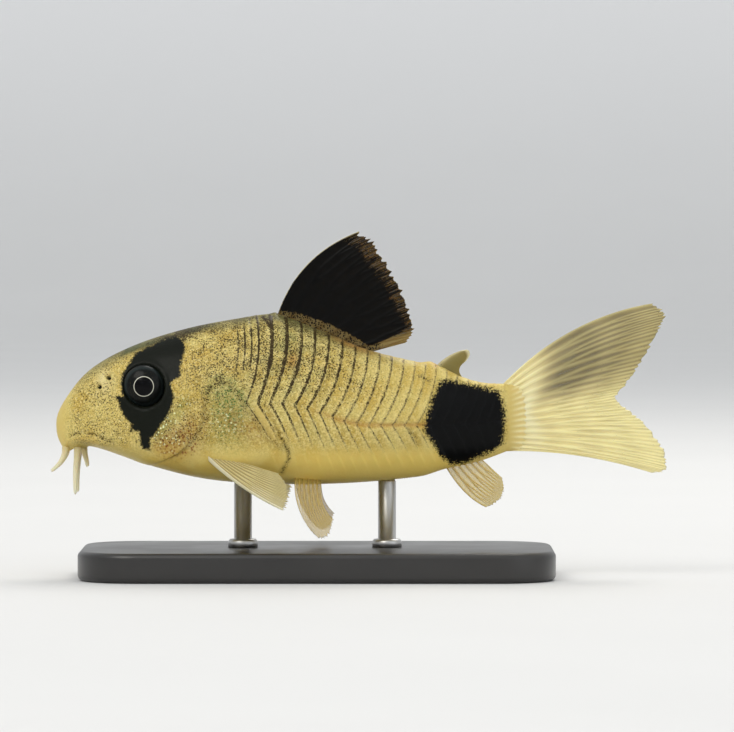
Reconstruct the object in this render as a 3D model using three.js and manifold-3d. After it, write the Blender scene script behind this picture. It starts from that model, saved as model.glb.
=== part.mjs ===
// A corydoras catfish of the panda kind, life size, as a still model on a small display stand.
// Millimetres, +Z up. The fish faces -X and its left side faces -Y.
// The origin is on the underside of the stand's base, at its centre.
// The fish is modelled in its own frame first: X from the tip of the snout, Z from the snout's height.

import * as THREE from "three";
import { mergeVertices } from "three/addons/utils/BufferGeometryUtils.js";
import Module from "manifold-3d";

const wasm = await Module();
wasm.setup();

// Driving dimensions
const STANDARD_LENGTH = 38; // tip of the snout to the root of the tail fin
const GAP = 0.3; // between any two pieces that meet
const SEAT_GAP = 0.44; // the same at a fin's root, over the facets of the flesh
const WEB = 0.5; // thickness of a fin's membrane
const RAY = 0.86; // thickness of a fin over a ray, at the ray's root
const FIN_EDGE = 0.34; // thickness of a fin at its outer edge
const SCUTE_LIFT = 0.24; // how far a scute's hind edge stands above the skin
const SCUTE_BED = 0.2; // how far the flesh under the scutes lies below the skin
const SCUTE_ROOT = 0.6; // how deep a scute is sunk below the skin
const SCUTES_PER_ROW = 21;
const EYE_RADIUS = 1.77;
const EYE_DEPTH = 1.1;
const BASE_LENGTH = 40;
const BASE_WIDTH = 20;
const BASE_THICKNESS = 2.5;
const ROD_RADIUS = 0.75;
const FIN_CLEARANCE = 0.9; // between the lowest fin tip and the base

const SIDES = [
  ["left", -1],
  ["right", 1],
];

// Lengths along the fish are measured in hundredths of its standard length.
const percent = (share) => (STANDARD_LENGTH * share) / 100;
const lerp = THREE.MathUtils.lerp;
const { smoothstep, clamp } = THREE.MathUtils;
const vec = (x, y, z) => new THREE.Vector3(x, y, z);

/** A smooth curve through points [along, value], blunt at the snout because it is drawn over the root of the length. */
function outline(points) {
  const knots = points.map(([x, value]) => [Math.sqrt(x), value]);
  const slopes = knots.map((_, i) => {
    const before = knots[Math.max(0, i - 1)];
    const after = knots[Math.min(knots.length - 1, i + 1)];
    return (after[1] - before[1]) / (after[0] - before[0]);
  });
  return (x) => {
    const q = Math.sqrt(clamp(x, 0, 100));
    let i = 0;
    while (i < knots.length - 2 && q > knots[i + 1][0]) i += 1;
    const span = knots[i + 1][0] - knots[i][0];
    const t = (q - knots[i][0]) / span;
    const start = (1 + 2 * t) * (1 - t) ** 2 * knots[i][1] + t * (1 - t) ** 2 * span * slopes[i];
    const end = t * t * (3 - 2 * t) * knots[i + 1][1] - t * t * (1 - t) * span * slopes[i + 1];
    return start + end;
  };
}

// The trunk's outlines, each [percent of the length from the snout, percent of the length]
const back = outline([
  [0, 0], [2, 5.5], [7.5, 12.1], [17, 17.4], [29.5, 21.4], [40, 23.4],
  [48.8, 24.3], [58.5, 20.9], [68.8, 16.7], [79.9, 13.9], [84.5, 13.2], [90.2, 10.5], [95, 9.2], [100, 9],
]);
const belly = outline([
  [0, 0], [0.6, -3.4], [2.4, -5.6], [4.6, -4.9], [8, -4.9], [12.2, -6.1], [22, -9.4],
  [33, -12], [45, -13.1], [63, -13.1], [80.7, -11.6], [86.5, -9.9], [94, -8.2], [100, -6.1],
]);
const halfWidth = outline([
  [0, 0], [1, 3.1], [4, 5.9], [10, 8.6], [19, 10.9], [30, 13], [42, 14],
  [52, 13.5], [62, 12], [72, 9.8], [82, 7], [90, 4.7], [95, 3.6], [100, 2.6],
]);
const widest = outline([[0, -0.4], [5, -1.2], [15, -2.2], [35, -3.4], [55, -2.8], [80, 0], [100, 1.2]]);
const upperPower = outline([[0, 2], [20, 2], [40, 1.75], [70, 1.7], [100, 1.9]]);
const lowerPower = outline([[0, 2.1], [10, 2.5], [40, 2.7], [70, 2.4], [100, 2]]);

/** The point of the skin at x percent; turn runs from the back (0) over the left flank to the belly (pi) and round. */
function skin(x, turn) {
  const rising = Math.cos(turn);
  const across = Math.sin(turn);
  const power = 2 / (rising > 0 ? upperPower(x) : lowerPower(x));
  const reach = rising > 0 ? back(x) - widest(x) : widest(x) - belly(x);
  return vec(
    percent(x),
    -percent(halfWidth(x)) * Math.sign(across) * Math.abs(across) ** power,
    percent(widest(x) + reach * Math.sign(rising) * Math.abs(rising) ** power),
  );
}

/** The skin's outward direction there. */
function outward(x, turn) {
  const step = 0.02;
  const x0 = clamp(x, 1, 99);
  const along = skin(x0 + 0.5, turn).sub(skin(x0 - 0.5, turn));
  const round = skin(x0, turn + step).sub(skin(x0, turn - step));
  return round.cross(along).normalize();
}

/** The turn at which the flank has a height, given in percent of the length. */
function turnAtHeight(x, height) {
  const above = height > widest(x);
  const reach = above ? back(x) - widest(x) : widest(x) - belly(x);
  const share = clamp(Math.abs(height - widest(x)) / reach, 0, 1);
  const cosine = share ** ((above ? upperPower(x) : lowerPower(x)) / 2);
  return Math.acos(above ? cosine : -cosine);
}

const flank = (x, height, lift = 0) => {
  const turn = turnAtHeight(x, height);
  return skin(x, turn).addScaledVector(outward(x, turn), lift);
};

/** A geometry as a solid, with its faces turned outwards. */
function solid(geometry) {
  const bare = geometry.clone();
  bare.deleteAttribute("normal");
  bare.deleteAttribute("uv");
  const merged = mergeVertices(bare, 1e-4);
  const vertProperties = new Float32Array(merged.attributes.position.array);
  const triVerts = new Uint32Array(merged.index.array);
  const made = new wasm.Manifold(new wasm.Mesh({ numProp: 3, vertProperties, triVerts }));
  if (made.volume() > 0) return made;
  for (let i = 0; i < triVerts.length; i += 3) {
    [triVerts[i + 1], triVerts[i + 2]] = [triVerts[i + 2], triVerts[i + 1]];
  }
  return new wasm.Manifold(new wasm.Mesh({ numProp: 3, vertProperties, triVerts }));
}

/** A geometry with each vertex moved by place, which gets the vertex's own position. */
function deformed(geometry, place) {
  const position = geometry.attributes.position;
  for (let i = 0; i < position.count; i += 1) {
    const { x, y, z } = place(new THREE.Vector3().fromBufferAttribute(position, i));
    position.setXYZ(i, x, y, z);
  }
  return geometry;
}

/** A closed sheet of columns by rows cells. place(u, v, side) gives a point, with side 1 on the outer face and -1 on the inner. */
function sheet(columns, rows, place) {
  const at = (face, i, j) => (face * (columns + 1) + i) * (rows + 1) + j;
  const positions = [];
  for (const side of [-1, 1]) {
    for (let i = 0; i <= columns; i += 1) {
      for (let j = 0; j <= rows; j += 1) positions.push(...place(i, j, side).toArray());
    }
  }
  const index = [];
  const quad = (a, b, c, d) => index.push(a, b, c, a, c, d);
  for (let i = 0; i < columns; i += 1) {
    for (let j = 0; j < rows; j += 1) {
      quad(at(1, i, j), at(1, i + 1, j), at(1, i + 1, j + 1), at(1, i, j + 1));
      index.push(at(0, i, j), at(0, i + 1, j + 1), at(0, i + 1, j));
      index.push(at(0, i, j), at(0, i, j + 1), at(0, i + 1, j + 1));
    }
    quad(at(0, i, 0), at(0, i + 1, 0), at(1, i + 1, 0), at(1, i, 0));
    quad(at(0, i + 1, rows), at(0, i, rows), at(1, i, rows), at(1, i + 1, rows));
  }
  for (let j = 0; j < rows; j += 1) {
    quad(at(0, 0, j + 1), at(0, 0, j), at(1, 0, j), at(1, 0, j + 1));
    quad(at(0, columns, j), at(0, columns, j + 1), at(1, columns, j + 1), at(1, columns, j));
  }
  const geometry = new THREE.BufferGeometry();
  geometry.setAttribute("position", new THREE.Float32BufferAttribute(positions, 3));
  geometry.setIndex(index);
  return geometry;
}

/** The largest closed body of a solid, which drops any scrap that a cut leaves. */
const largest = (made) => made.decompose().reduce((a, b) => (b.volume() > a.volume() ? b : a));

/** The pieces of one node fused into one closed body. */
const fused = (pieces) => largest(wasm.Manifold.union(pieces));

/** A length of the body between two stations in percent, closed by flat ends; lift(turn) is its height over the skin. */
function barrel(start, end, lengths, around, lift) {
  const drum = new THREE.CylinderGeometry(1, 1, 1, around, lengths);
  return solid(deformed(drum, ({ x, y, z }) => {
    const station = lerp(start, end, y + 0.5);
    if (Math.hypot(x, z) < 0.5) return vec(percent(station), 0, percent(widest(station)));
    const turn = Math.atan2(x, z);
    const point = skin(station, turn).addScaledVector(outward(station, turn), lift(turn));
    return point.setX(percent(station));
  }));
}

/** The front of the body, from the tip of the snout back to a station in percent. */
function snoutCone(end, lengths, around) {
  const cone = new THREE.ConeGeometry(1, 1, around, lengths);
  return solid(deformed(cone, ({ x, y, z }) => {
    const share = 0.5 - y;
    const station = end * share * share;
    if (share < 0.001) return vec(0, 0, percent(widest(0)));
    if (y < -0.499 && Math.hypot(x, z) < 0.5) return vec(percent(station), 0, percent(widest(station)));
    return skin(station, Math.atan2(x, z));
  }));
}

/** A patch of the skin as a plate. place(u, v) gives its station and turn, lift(u) how far its outer face stands off. */
function plate({ columns, rows, side, place, lift, depth }) {
  return solid(sheet(columns, rows, (i, j, face) => {
    const [x, turn] = place(i / columns, j / rows);
    const off = face > 0 ? lift(i / columns, j / rows) : -depth;
    const point = skin(x, turn).addScaledVector(outward(x, turn), off);
    if (side > 0) point.y = -point.y;
    return point;
  }));
}

// Scutes: two rows on each flank that meet along the middle of the side, each scute lapping over the next
const HEAD_END = 33.2;
const TAIL_START = 81.5;
const FIRST_SCUTE = 41.2;
const LAST_SCUTE = 98.6;
const FRONT_PITCH = 3.15;
const ROW_PARTING = 0.35; // half the groove between the rows
const BACK_TURN = 0.15; // where the upper row ends beside the ridge of the back
const LAP = 0.45; // how far a scute reaches under the one before it, in pitches

/** Height of the groove between the two rows. */
const rowLine = (x) => lerp(5, -0.3, smoothstep(x, 38, 84)) + 1.2 * smoothstep(x, 84, 100);

/** Station of a scute's front edge where it meets the groove; scutes shorten towards the tail. */
function scuteStation(index) {
  const length = LAST_SCUTE - FIRST_SCUTE;
  const taper = (length - FRONT_PITCH * SCUTES_PER_ROW) / (SCUTES_PER_ROW * (SCUTES_PER_ROW - 1) * 0.5);
  return FIRST_SCUTE + index * FRONT_PITCH + taper * index * (index - 1) * 0.5;
}

/** How far a scute's edge is swept back at a share (0 to 1) of its row's height away from the groove. */
function sweep(x, share, row) {
  const room = clamp((99.4 - x) / 14, 0, 1);
  if (row === "upper") return (6.2 * share - 3.1 * share * share) * room;
  const slant = 3 + 5.6 * Math.exp(-Math.max(0, x - FIRST_SCUTE) / 9);
  return slant * share * room;
}

function scutePlace(row, front, pitch) {
  return (u, v) => {
    const station = front + pitch * lerp(-LAP, 1, u);
    const share = row === "upper" ? 1 - v : v;
    const x = Math.min(station + sweep(station, share, row), 99.8);
    const groove = turnAtHeight(x, rowLine(x) + (row === "upper" ? ROW_PARTING : -ROW_PARTING));
    if (row === "upper") return [x, lerp(BACK_TURN, groove, v)];
    return [x, lerp(groove, turnAtHeight(x, lerp(belly(x), widest(x), 0.16)), v)];
  };
}

/** Every scute of one flank, as separate closed plates. */
function scutes(side) {
  const made = [];
  for (const row of ["upper", "lower"]) {
    for (let i = 0; i < SCUTES_PER_ROW; i += 1) {
      const front = scuteStation(i);
      const pitch = scuteStation(i + 1) - front;
      made.push(plate({
        columns: 1,
        rows: 4,
        side,
        place: scutePlace(row, front, pitch),
        lift: (u) => lerp(-0.08, SCUTE_LIFT, u),
        depth: Math.min(SCUTE_ROOT, percent(halfWidth(front)) * 0.35),
      }));
    }
  }
  return made;
}

/** The nape shield above and the shoulder shield below, ahead of the first scutes. */
function shields(side) {
  const nape = plate({
    columns: 3,
    rows: 5,
    side,
    place: (u, v) => {
      const station = lerp(HEAD_END - 2, FIRST_SCUTE, u);
      const x = station + sweep(FIRST_SCUTE, 1 - v, "upper") * u;
      return [x, lerp(BACK_TURN, turnAtHeight(x, rowLine(x) + ROW_PARTING), v)];
    },
    lift: (u) => lerp(0.04, SCUTE_LIFT, u),
    depth: SCUTE_ROOT,
  });
  const shoulder = plate({
    columns: 4,
    rows: 4,
    side,
    place: (u, v) => {
      const x = lerp(HEAD_END - 2, FIRST_SCUTE + sweep(FIRST_SCUTE, v, "lower"), u);
      const groove = turnAtHeight(x, rowLine(x) - ROW_PARTING);
      return [x, lerp(groove, turnAtHeight(x, lerp(belly(x), widest(x), 0.2)), v)];
    },
    lift: (u) => lerp(0.06, SCUTE_LIFT, u),
    depth: SCUTE_ROOT,
  });
  return [nape, shoulder];
}

/** A box that holds everything between two stations, to cut the body into its nodes. */
function slice(start, end) {
  const length = percent(end - start);
  const box = new THREE.BoxGeometry(length, STANDARD_LENGTH, STANDARD_LENGTH);
  return solid(box.translate(percent(start) + length / 2, 0, 0));
}

const GAP_SHARE = (100 * GAP) / STANDARD_LENGTH;

/** How far a turn round the body is under the scutes: 1 on the flanks, 0 along the back and the belly. */
const armour = (turn) => {
  const round = Math.abs(turn);
  return smoothstep(round, 0.04, 0.16) * (1 - smoothstep(round, 2.45, 2.65));
};
const underScutes = (turn) => -SCUTE_BED * armour(turn);

/** The armoured body behind the head, parted by a thin cut into the trunk and the tail. */
function armouredBody() {
  const core = barrel(HEAD_END - 1, 99.9, 15, 30, underScutes);
  const whole = fused([core, ...SIDES.flatMap(([, side]) => [...scutes(side), ...shields(side)])]);
  const trunk = largest(whole.intersect(slice(HEAD_END + GAP_SHARE, TAIL_START)));
  const tail = largest(whole.intersect(slice(TAIL_START + GAP_SHARE, 99.8)));
  return { trunk, tail };
}

// Head
const EYE = { x: 19.85, height: 8.7, bulge: 0.35 };
const eyeCentre = (side) => {
  const surface = flank(EYE.x, EYE.height);
  return vec(surface.x, side * (Math.abs(surface.y) - EYE_DEPTH + EYE.bulge), surface.z);
};

function eyeball(side, growth = 0) {
  const { x, y, z } = eyeCentre(side);
  const radius = EYE_RADIUS + growth;
  const ball = new THREE.SphereGeometry(1, 16, 12).scale(radius, EYE_DEPTH + growth, radius);
  return solid(ball.translate(x, y, z));
}

const GILL = { front: 24.4, end: 32.2, top: 8.4, foot: -7.4, lift: 0.16, depth: 0.55 };

/** The gill cover: an oval plate behind the cheek. growth widens it, for the recess that it lies in. */
function gillCover(side, growth = 0) {
  const middle = [(GILL.front + GILL.end) / 2, (GILL.top + GILL.foot) / 2];
  const more = growth / percent(1);
  const reach = [(GILL.end - GILL.front) / 2 + more, (GILL.top - GILL.foot) / 2 + more];
  return plate({
    columns: 5,
    rows: 8,
    side,
    place: (u, v) => {
      const height = middle[1] + reach[1] * (1 - 2 * v);
      const across = Math.sqrt(Math.max(0, 1 - ((1 - 2 * v) * 0.9) ** 2));
      const x = middle[0] + reach[0] * (2 * u - 1) * across - 1.6 * v * v;
      return [x, turnAtHeight(x, height)];
    },
    lift: (u) => (growth ? 1 : lerp(0.02, GILL.lift, u)),
    depth: GILL.depth + growth,
  });
}

const NOSTRILS = [
  { x: 9.3, height: 9.6, radius: 0.3 },
  { x: 12.6, height: 11.2, radius: 0.34 },
];

/** A nostril: a low rim round a pit. */
function nostril(side, { x, height, radius }) {
  const turn = turnAtHeight(x, height);
  const place = skin(x, turn);
  const up = outward(x, turn);
  if (side > 0) [place.y, up.y] = [-place.y, -up.y];
  const turned = new THREE.Quaternion().setFromUnitVectors(vec(0, 0, 1), up);
  const rim = new THREE.TorusGeometry(radius + 0.1, 0.15, 5, 10);
  const pit = new THREE.SphereGeometry(radius, 8, 6).scale(1, 1, 1.6);
  const set = (g) => solid(g.applyQuaternion(turned).translate(place.x, place.y, place.z));
  return { rim: set(rim), pit: set(pit) };
}

const MOUTH = { x: 4.3, height: -5, length: 0.85, breadth: 1.25, lip: 0.36 };

/** The lips: a ring under the snout, with the mouth's slit inside it. */
function mouth() {
  const ring = new THREE.TorusGeometry(1, MOUTH.lip / MOUTH.length, 7, 18);
  ring.scale(MOUTH.length, MOUTH.breadth, MOUTH.length);
  const slit = new THREE.SphereGeometry(1, 12, 8).scale(MOUTH.length * 0.42, MOUTH.breadth * 0.82, 0.75);
  const set = (g) => solid(g.rotateY(-0.12).translate(percent(MOUTH.x), 0, percent(MOUTH.height)));
  return { lips: set(ring), slit: set(slit) };
}

function head() {
  const { lips, slit } = mouth();
  const noses = SIDES.flatMap(([, side]) => NOSTRILS.map((each) => nostril(side, each)));
  const flesh = wasm.Manifold.union([snoutCone(HEAD_END, 15, 30), lips, ...noses.map(({ rim }) => rim)]);
  const cuts = [
    slit,
    ...noses.map(({ pit }) => pit),
    ...SIDES.flatMap(([, side]) => [eyeball(side, GAP + 0.04), gillCover(side, GAP + 0.12)]),
  ];
  return largest(flesh.subtract(wasm.Manifold.union(cuts)));
}

/** A tapering feeler along a curve of points, round and blunt at its tip. */
function barbel(points, rootRadius, tipRadius) {
  const curve = new THREE.CatmullRomCurve3(points);
  const { normals, binormals } = curve.computeFrenetFrames(6, false);
  const stalk = new THREE.CylinderGeometry(1, 1, 6, 7, 6);
  return solid(deformed(stalk, ({ x, y, z }) => {
    const step = Math.round(3 - y);
    const share = step / 6;
    const radius = lerp(rootRadius, tipRadius, share) * (step === 6 ? 0.6 : 1);
    return curve.getPointAt(share)
      .addScaledVector(normals[step], x * radius)
      .addScaledVector(binormals[step], z * radius);
  }));
}

// Barbels: two pairs from the corners of the mouth and a pair of short flaps on the lower lip
const BARBELS = [
  { name: "upper_barbel", root: [2.1, 4.5, -6.5], mid: [0.9, 5.2, -8.6], tip: [-0.8, 6.6, -10.2], radii: [0.36, 0.2] },
  { name: "lower_barbel", root: [4.8, 4.1, -6.7], mid: [4.5, 5, -11], tip: [4.5, 5.6, -15.4], radii: [0.4, 0.19] },
  { name: "lip_flap", root: [6.4, 1.5, -6.6], mid: [6.8, 1.8, -8.2], tip: [7, 2.2, -9.4], radii: [0.36, 0.22] },
];

/**
 * A fin: a fan of rays, raised as ridges, with the membrane between them, in one closed surface.
 * root(u) and edge(u) run from the first ray (u = 0) to the last (u = 1), bow(u) is a ray's curve at half length,
 * out(u) the way its thickness runs, and spine how much thicker the first ray is.
 */
function fin({ rays, rows, root, edge, bow, out, spine = 1, foot = 0 }) {
  const perRay = 3;
  const columns = (rays - 1) * perRay;
  return solid(sheet(columns, rows, (i, j, side) => {
    const u = i / columns;
    const onRay = i % perRay === 0;
    const v = j / rows;
    const reach = v * (onRay ? 1 : 1 - 0.035 * (j === rows ? 1 : 0));
    const point = root(u).lerp(edge(u), reach).addScaledVector(bow(u), 4 * reach * (1 - reach));
    const stout = i === 0 ? spine : 1;
    const ridge = onRay ? (RAY * stout - WEB) * (1 - 0.72 * v) : 0;
    const flesh = foot * (1 - smoothstep(v, 0, 1.5 / rows));
    const thickness = lerp(WEB, FIN_EDGE, v ** 3) + ridge + flesh;
    return point.addScaledVector(out(u), (side * thickness) / 2);
  }));
}

/** A fin with its root cut to the body's shape, so that it stands off the skin by the gap. */
function seated(made) {
  const clearance = barrel(HEAD_END, 99.8, 22, 30, (turn) => SEAT_GAP + SCUTE_LIFT * armour(turn));
  return largest(made.subtract(clearance));
}

/** A smooth path through points [along, across, up] in percent of the length; a [along, up] point lies in the middle plane. */
function path(points) {
  const curve = new THREE.CatmullRomCurve3(
    points.map((p) => (p.length === 2 ? vec(percent(p[0]), 0, percent(p[1])) : vec(...p.map(percent)))),
  );
  return (u) => curve.getPoint(u);
}

const ACROSS = () => vec(0, 1, 0);

/** Points along the ridge of the back or the keel of the belly, a little inside the flesh. */
const ridgeSeat = (line, from, to, inset) => (u) => {
  const x = lerp(from, to, u);
  return vec(percent(x), 0, percent(line(x)) + inset);
};

function dorsalFin() {
  return seated(fin({
    rays: 8,
    rows: 6,
    root: ridgeSeat(back, 49.2, 68.6, -0.4),
    edge: path([[67.4, 42.9], [71, 40.6], [73.6, 36.4], [76.4, 31.4], [78.4, 26.6], [79.7, 21.4], [78, 18.2]]),
    bow: (u) => vec(-1.1, 0, 0.95).multiplyScalar((1 - u) ** 1.5),
    out: ACROSS,
    spine: 1.35,
    foot: 0.35,
  }));
}

function analFin() {
  return seated(fin({
    rays: 6,
    rows: 4,
    root: ridgeSeat(belly, 86.6, 93.6, 0.5),
    edge: path([[95.8, -18.6], [98.6, -17], [99.6, -14.6], [99.2, -12]]),
    bow: (u) => vec(-0.1, 0, -0.5).multiplyScalar(1 - u),
    out: ACROSS,
    foot: 0.2,
  }));
}

function adiposeFin() {
  return seated(fin({
    rays: 2,
    rows: 5,
    root: ridgeSeat(back, 84.2, 90.2, -0.4),
    edge: path([[91, 16.6], [91.9, 15.6], [90.8, 13.4], [90.6, 11.4]]),
    bow: (u) => vec(0, 0, lerp(0.16, 0, u)),
    out: ACROSS,
    spine: 1.1,
    foot: 0.1,
  }));
}

const TAIL_ROOT = 99.8 + GAP_SHARE;

/** One lobe of the tail fin. The lobes part at the fork. */
function tailLobe(rootFrom, rootTo, edgePoints, curve) {
  return fin({
    rays: 7,
    rows: 7,
    root: (u) => vec(percent(TAIL_ROOT), 0, lerp(rootFrom, rootTo, u)),
    edge: path(edgePoints),
    bow: curve,
    out: ACROSS,
    spine: 1.15,
    foot: 0.35,
  });
}

function tailFin() {
  const top = percent(back(100));
  const foot = percent(belly(100));
  const fork = percent(1.5);
  return {
    upper: tailLobe(
      top, fork + GAP / 2,
      [[132.6, 26.9], [135.6, 24.6], [134.2, 21], [130.6, 14.6], [127.2, 9.4], [124.6, 6.1]],
      (u) => vec(-0.5, 0, 1.1).multiplyScalar((1 - u) ** 1.5),
    ),
    lower: tailLobe(
      foot, fork - GAP / 2,
      [[132.6, -10.9], [135.8, -10.2], [135.6, -6.8], [132.4, -1.4], [128.6, 2.6], [124.6, 5.1]],
      (u) => vec(0, 0, 0.55).multiplyScalar((1 - u) ** 1.5),
    ),
  };
}

/** A paired fin that stands off the left flank; the right one is its mirror image. */
function pairedFin({ side, rays, rows, root, edge, bow, out, spine }) {
  const mirror = (v) => vec(v.x, side < 0 ? v.y : -v.y, v.z);
  return fin({
    rays,
    rows,
    root: (u) => mirror(root(u)),
    edge: (u) => mirror(edge(u)),
    bow: (u) => mirror(bow(u)),
    out: (u) => mirror(out(u)),
    spine,
  });
}

function pectoralFin(side) {
  return seated(pairedFin({
    side,
    rays: 7,
    rows: 5,
    root: (u) => flank(lerp(35.6, 39.6, u), lerp(-7.2, -8.6, u), -0.5),
    edge: path([[51.4, -24.6, -18.2], [52.2, -24, -15.4], [51.6, -22.4, -12.4], [50, -19.6, -10]]),
    bow: (u) => vec(0, -0.35, -0.5).multiplyScalar(1 - u),
    out: () => vec(0.25, -0.62, 0.74).normalize(),
    spine: 1.25,
  }));
}

function pelvicFin(side) {
  return seated(pairedFin({
    side,
    rays: 6,
    rows: 5,
    root: (u) => flank(lerp(53.4, 59, u), lerp(-11.8, -12.4, u), -0.5),
    edge: path([[57.2, -17.6, -23.2], [59.2, -18, -24.6], [61, -17, -23.8], [62, -14.4, -20.6]]),
    bow: () => vec(-0.5, -0.5, -0.2),
    out: () => vec(0.35, -0.7, 0.62).normalize(),
    spine: 1,
  }));
}

// Display stand: a flat base and two rods up to the belly
const BASE_MIDDLE = 58; // station over the middle of the base
const RODS = [
  ["stand_rod_front", 41.5],
  ["stand_rod_back", 73.5],
];

function roundedBase() {
  const bevel = 0.5;
  const [length, width] = [BASE_LENGTH / 2 - bevel, BASE_WIDTH / 2 - bevel];
  const corner = 5;
  const shape = new THREE.Shape();
  shape.moveTo(-length + corner, -width);
  shape.absarc(length - corner, -width + corner, corner, -Math.PI / 2, 0);
  shape.absarc(length - corner, width - corner, corner, 0, Math.PI / 2);
  shape.absarc(-length + corner, width - corner, corner, Math.PI / 2, Math.PI);
  shape.absarc(-length + corner, -width + corner, corner, Math.PI, 1.5 * Math.PI);
  const geometry = new THREE.ExtrudeGeometry(shape, {
    depth: BASE_THICKNESS - 2 * bevel,
    bevelSize: bevel,
    bevelThickness: bevel,
    bevelSegments: 2,
    curveSegments: 6,
  });
  return solid(geometry.translate(0, 0, bevel));
}

function rod(station, fishHeight) {
  const top = fishHeight + percent(belly(station)) - GAP - 0.06;
  const foot = BASE_THICKNESS + GAP;
  const geometry = new THREE.CylinderGeometry(ROD_RADIUS, ROD_RADIUS, top - foot, 16).rotateX(Math.PI / 2);
  return solid(geometry.translate(percent(station - BASE_MIDDLE), 0, (top + foot) / 2));
}

// Colours and finishes of the nodes
const finish = (color, roughness, metalness = 0) => new THREE.MeshStandardMaterial({ color, roughness, metalness });
const FINISHES = {
  skin: finish(0xc9ad6a, 0.42),
  black: finish(0x14140f, 0.45),
  membrane: finish(0xe2d49c, 0.35),
  barbel: finish(0xe8dcc0, 0.4),
  eye: finish(0x0c0c0c, 0.08),
  base: finish(0x1c1a18, 0.3),
  steel: finish(0xb8b8b8, 0.25, 1),
};

/** A solid as a named mesh. */
function node(name, made, material) {
  const { vertProperties, triVerts } = made.getMesh();
  const geometry = new THREE.BufferGeometry();
  geometry.setAttribute("position", new THREE.BufferAttribute(vertProperties, 3));
  geometry.setIndex(new THREE.BufferAttribute(triVerts, 1));
  geometry.computeVertexNormals();
  const mesh = new THREE.Mesh(geometry, material);
  mesh.name = name;
  return mesh;
}

const fish = new THREE.Group();
const { trunk, tail } = armouredBody();
const { upper, lower } = tailFin();
fish.add(
  node("head", head(), FINISHES.skin),
  node("trunk", trunk, FINISHES.skin),
  node("tail", tail, FINISHES.black),
  node("dorsal_fin", dorsalFin(), FINISHES.black),
  node("adipose_fin", adiposeFin(), FINISHES.membrane),
  node("anal_fin", analFin(), FINISHES.membrane),
  node("tail_fin_upper", upper, FINISHES.membrane),
  node("tail_fin_lower", lower, FINISHES.membrane),
);
for (const [name, side] of SIDES) {
  fish.add(
    node(`eye_${name}`, eyeball(side), FINISHES.eye),
    node(`gill_cover_${name}`, gillCover(side), FINISHES.skin),
    node(`pectoral_fin_${name}`, pectoralFin(side), FINISHES.membrane),
    node(`pelvic_fin_${name}`, pelvicFin(side), FINISHES.membrane),
  );
  for (const { name: kind, root, mid, tip, radii } of BARBELS) {
    const points = [root, mid, tip].map(([x, y, z]) => vec(percent(x), side * percent(y), percent(z)));
    fish.add(node(`${kind}_${name}`, barbel(points, ...radii), FINISHES.barbel));
  }
}

const lowest = new THREE.Box3().setFromObject(fish).min.z;
const fishHeight = BASE_THICKNESS + FIN_CLEARANCE - lowest;
fish.position.set(-percent(BASE_MIDDLE), 0, fishHeight);

const model = new THREE.Group();
model.add(fish, node("stand_base", roundedBase(), FINISHES.base));
for (const [name, station] of RODS) model.add(node(name, rod(station, fishHeight), FINISHES.steel));

export default model;
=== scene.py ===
"""A corydoras catfish of the panda kind, life size, as a still model on a small display stand.

Metres, +Z up. The fish faces -X and its left side faces -Y. Places on the fish are given in hundredths of its
standard length: along from the tip of the snout, up from the snout's height.
"""

import logging
import math
from dataclasses import dataclass, field
from enum import Enum
from typing import Callable, Iterable

import bmesh
import bpy
import numpy as np
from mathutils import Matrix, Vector


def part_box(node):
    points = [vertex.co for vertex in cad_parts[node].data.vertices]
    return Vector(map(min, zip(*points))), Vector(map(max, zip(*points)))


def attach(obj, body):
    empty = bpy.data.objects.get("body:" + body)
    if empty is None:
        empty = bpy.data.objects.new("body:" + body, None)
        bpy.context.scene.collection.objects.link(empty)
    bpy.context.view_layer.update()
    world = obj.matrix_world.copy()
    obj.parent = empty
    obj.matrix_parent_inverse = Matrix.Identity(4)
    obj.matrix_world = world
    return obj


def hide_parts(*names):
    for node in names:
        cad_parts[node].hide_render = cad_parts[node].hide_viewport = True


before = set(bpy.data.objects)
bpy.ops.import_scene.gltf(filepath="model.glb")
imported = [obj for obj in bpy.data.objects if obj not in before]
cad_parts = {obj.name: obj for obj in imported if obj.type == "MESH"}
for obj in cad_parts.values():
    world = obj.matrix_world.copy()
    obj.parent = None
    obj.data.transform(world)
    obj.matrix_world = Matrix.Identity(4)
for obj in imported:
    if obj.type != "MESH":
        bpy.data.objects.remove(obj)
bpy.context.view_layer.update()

LOG = logging.getLogger("catfish")
ROOT = "root"
MM = 0.001
STANDARD_LENGTH = 38 * MM
PERCENT = STANDARD_LENGTH / 100
SIDES = {"left": -1, "right": 1}

Array = np.ndarray
Marks = dict[str, Array]
Curve = Callable[[Array], Array]
FanMark = Callable[[Array, Array], Array]
Placing = Callable[[Array, Array], tuple[Array, Marks]]
Point2 = tuple[float, float]
Point3 = tuple[float, float, float]
Colour = tuple[float, float, float, float]
Socket = bpy.types.NodeSocket
Value = float | Colour | Socket


# Helpers for shapes


def smooth(value: Array, low: float, high: float) -> Array:
    """A soft step from 0 at low to 1 at high.

    Args:
        value: where the step is read.
        low: the last place at 0.
        high: the first place at 1.

    Returns:
        The step at each value.
    """
    t = np.clip((value - low) / (high - low), 0, 1)
    return t * t * (3 - 2 * t)


def hump(value: Array, middle: float, width: float) -> Array:
    """A bell of height 1 round a middle.

    Args:
        value: where the bell is read.
        middle: the place of its top.
        width: its half width.

    Returns:
        The bell at each value.
    """
    return np.exp(-(((value - middle) / width) ** 2))


def mix(a: Array, b: Array, share: Array) -> Array:
    """The value a share of the way from a to b."""
    return a + (b - a) * share


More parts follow.
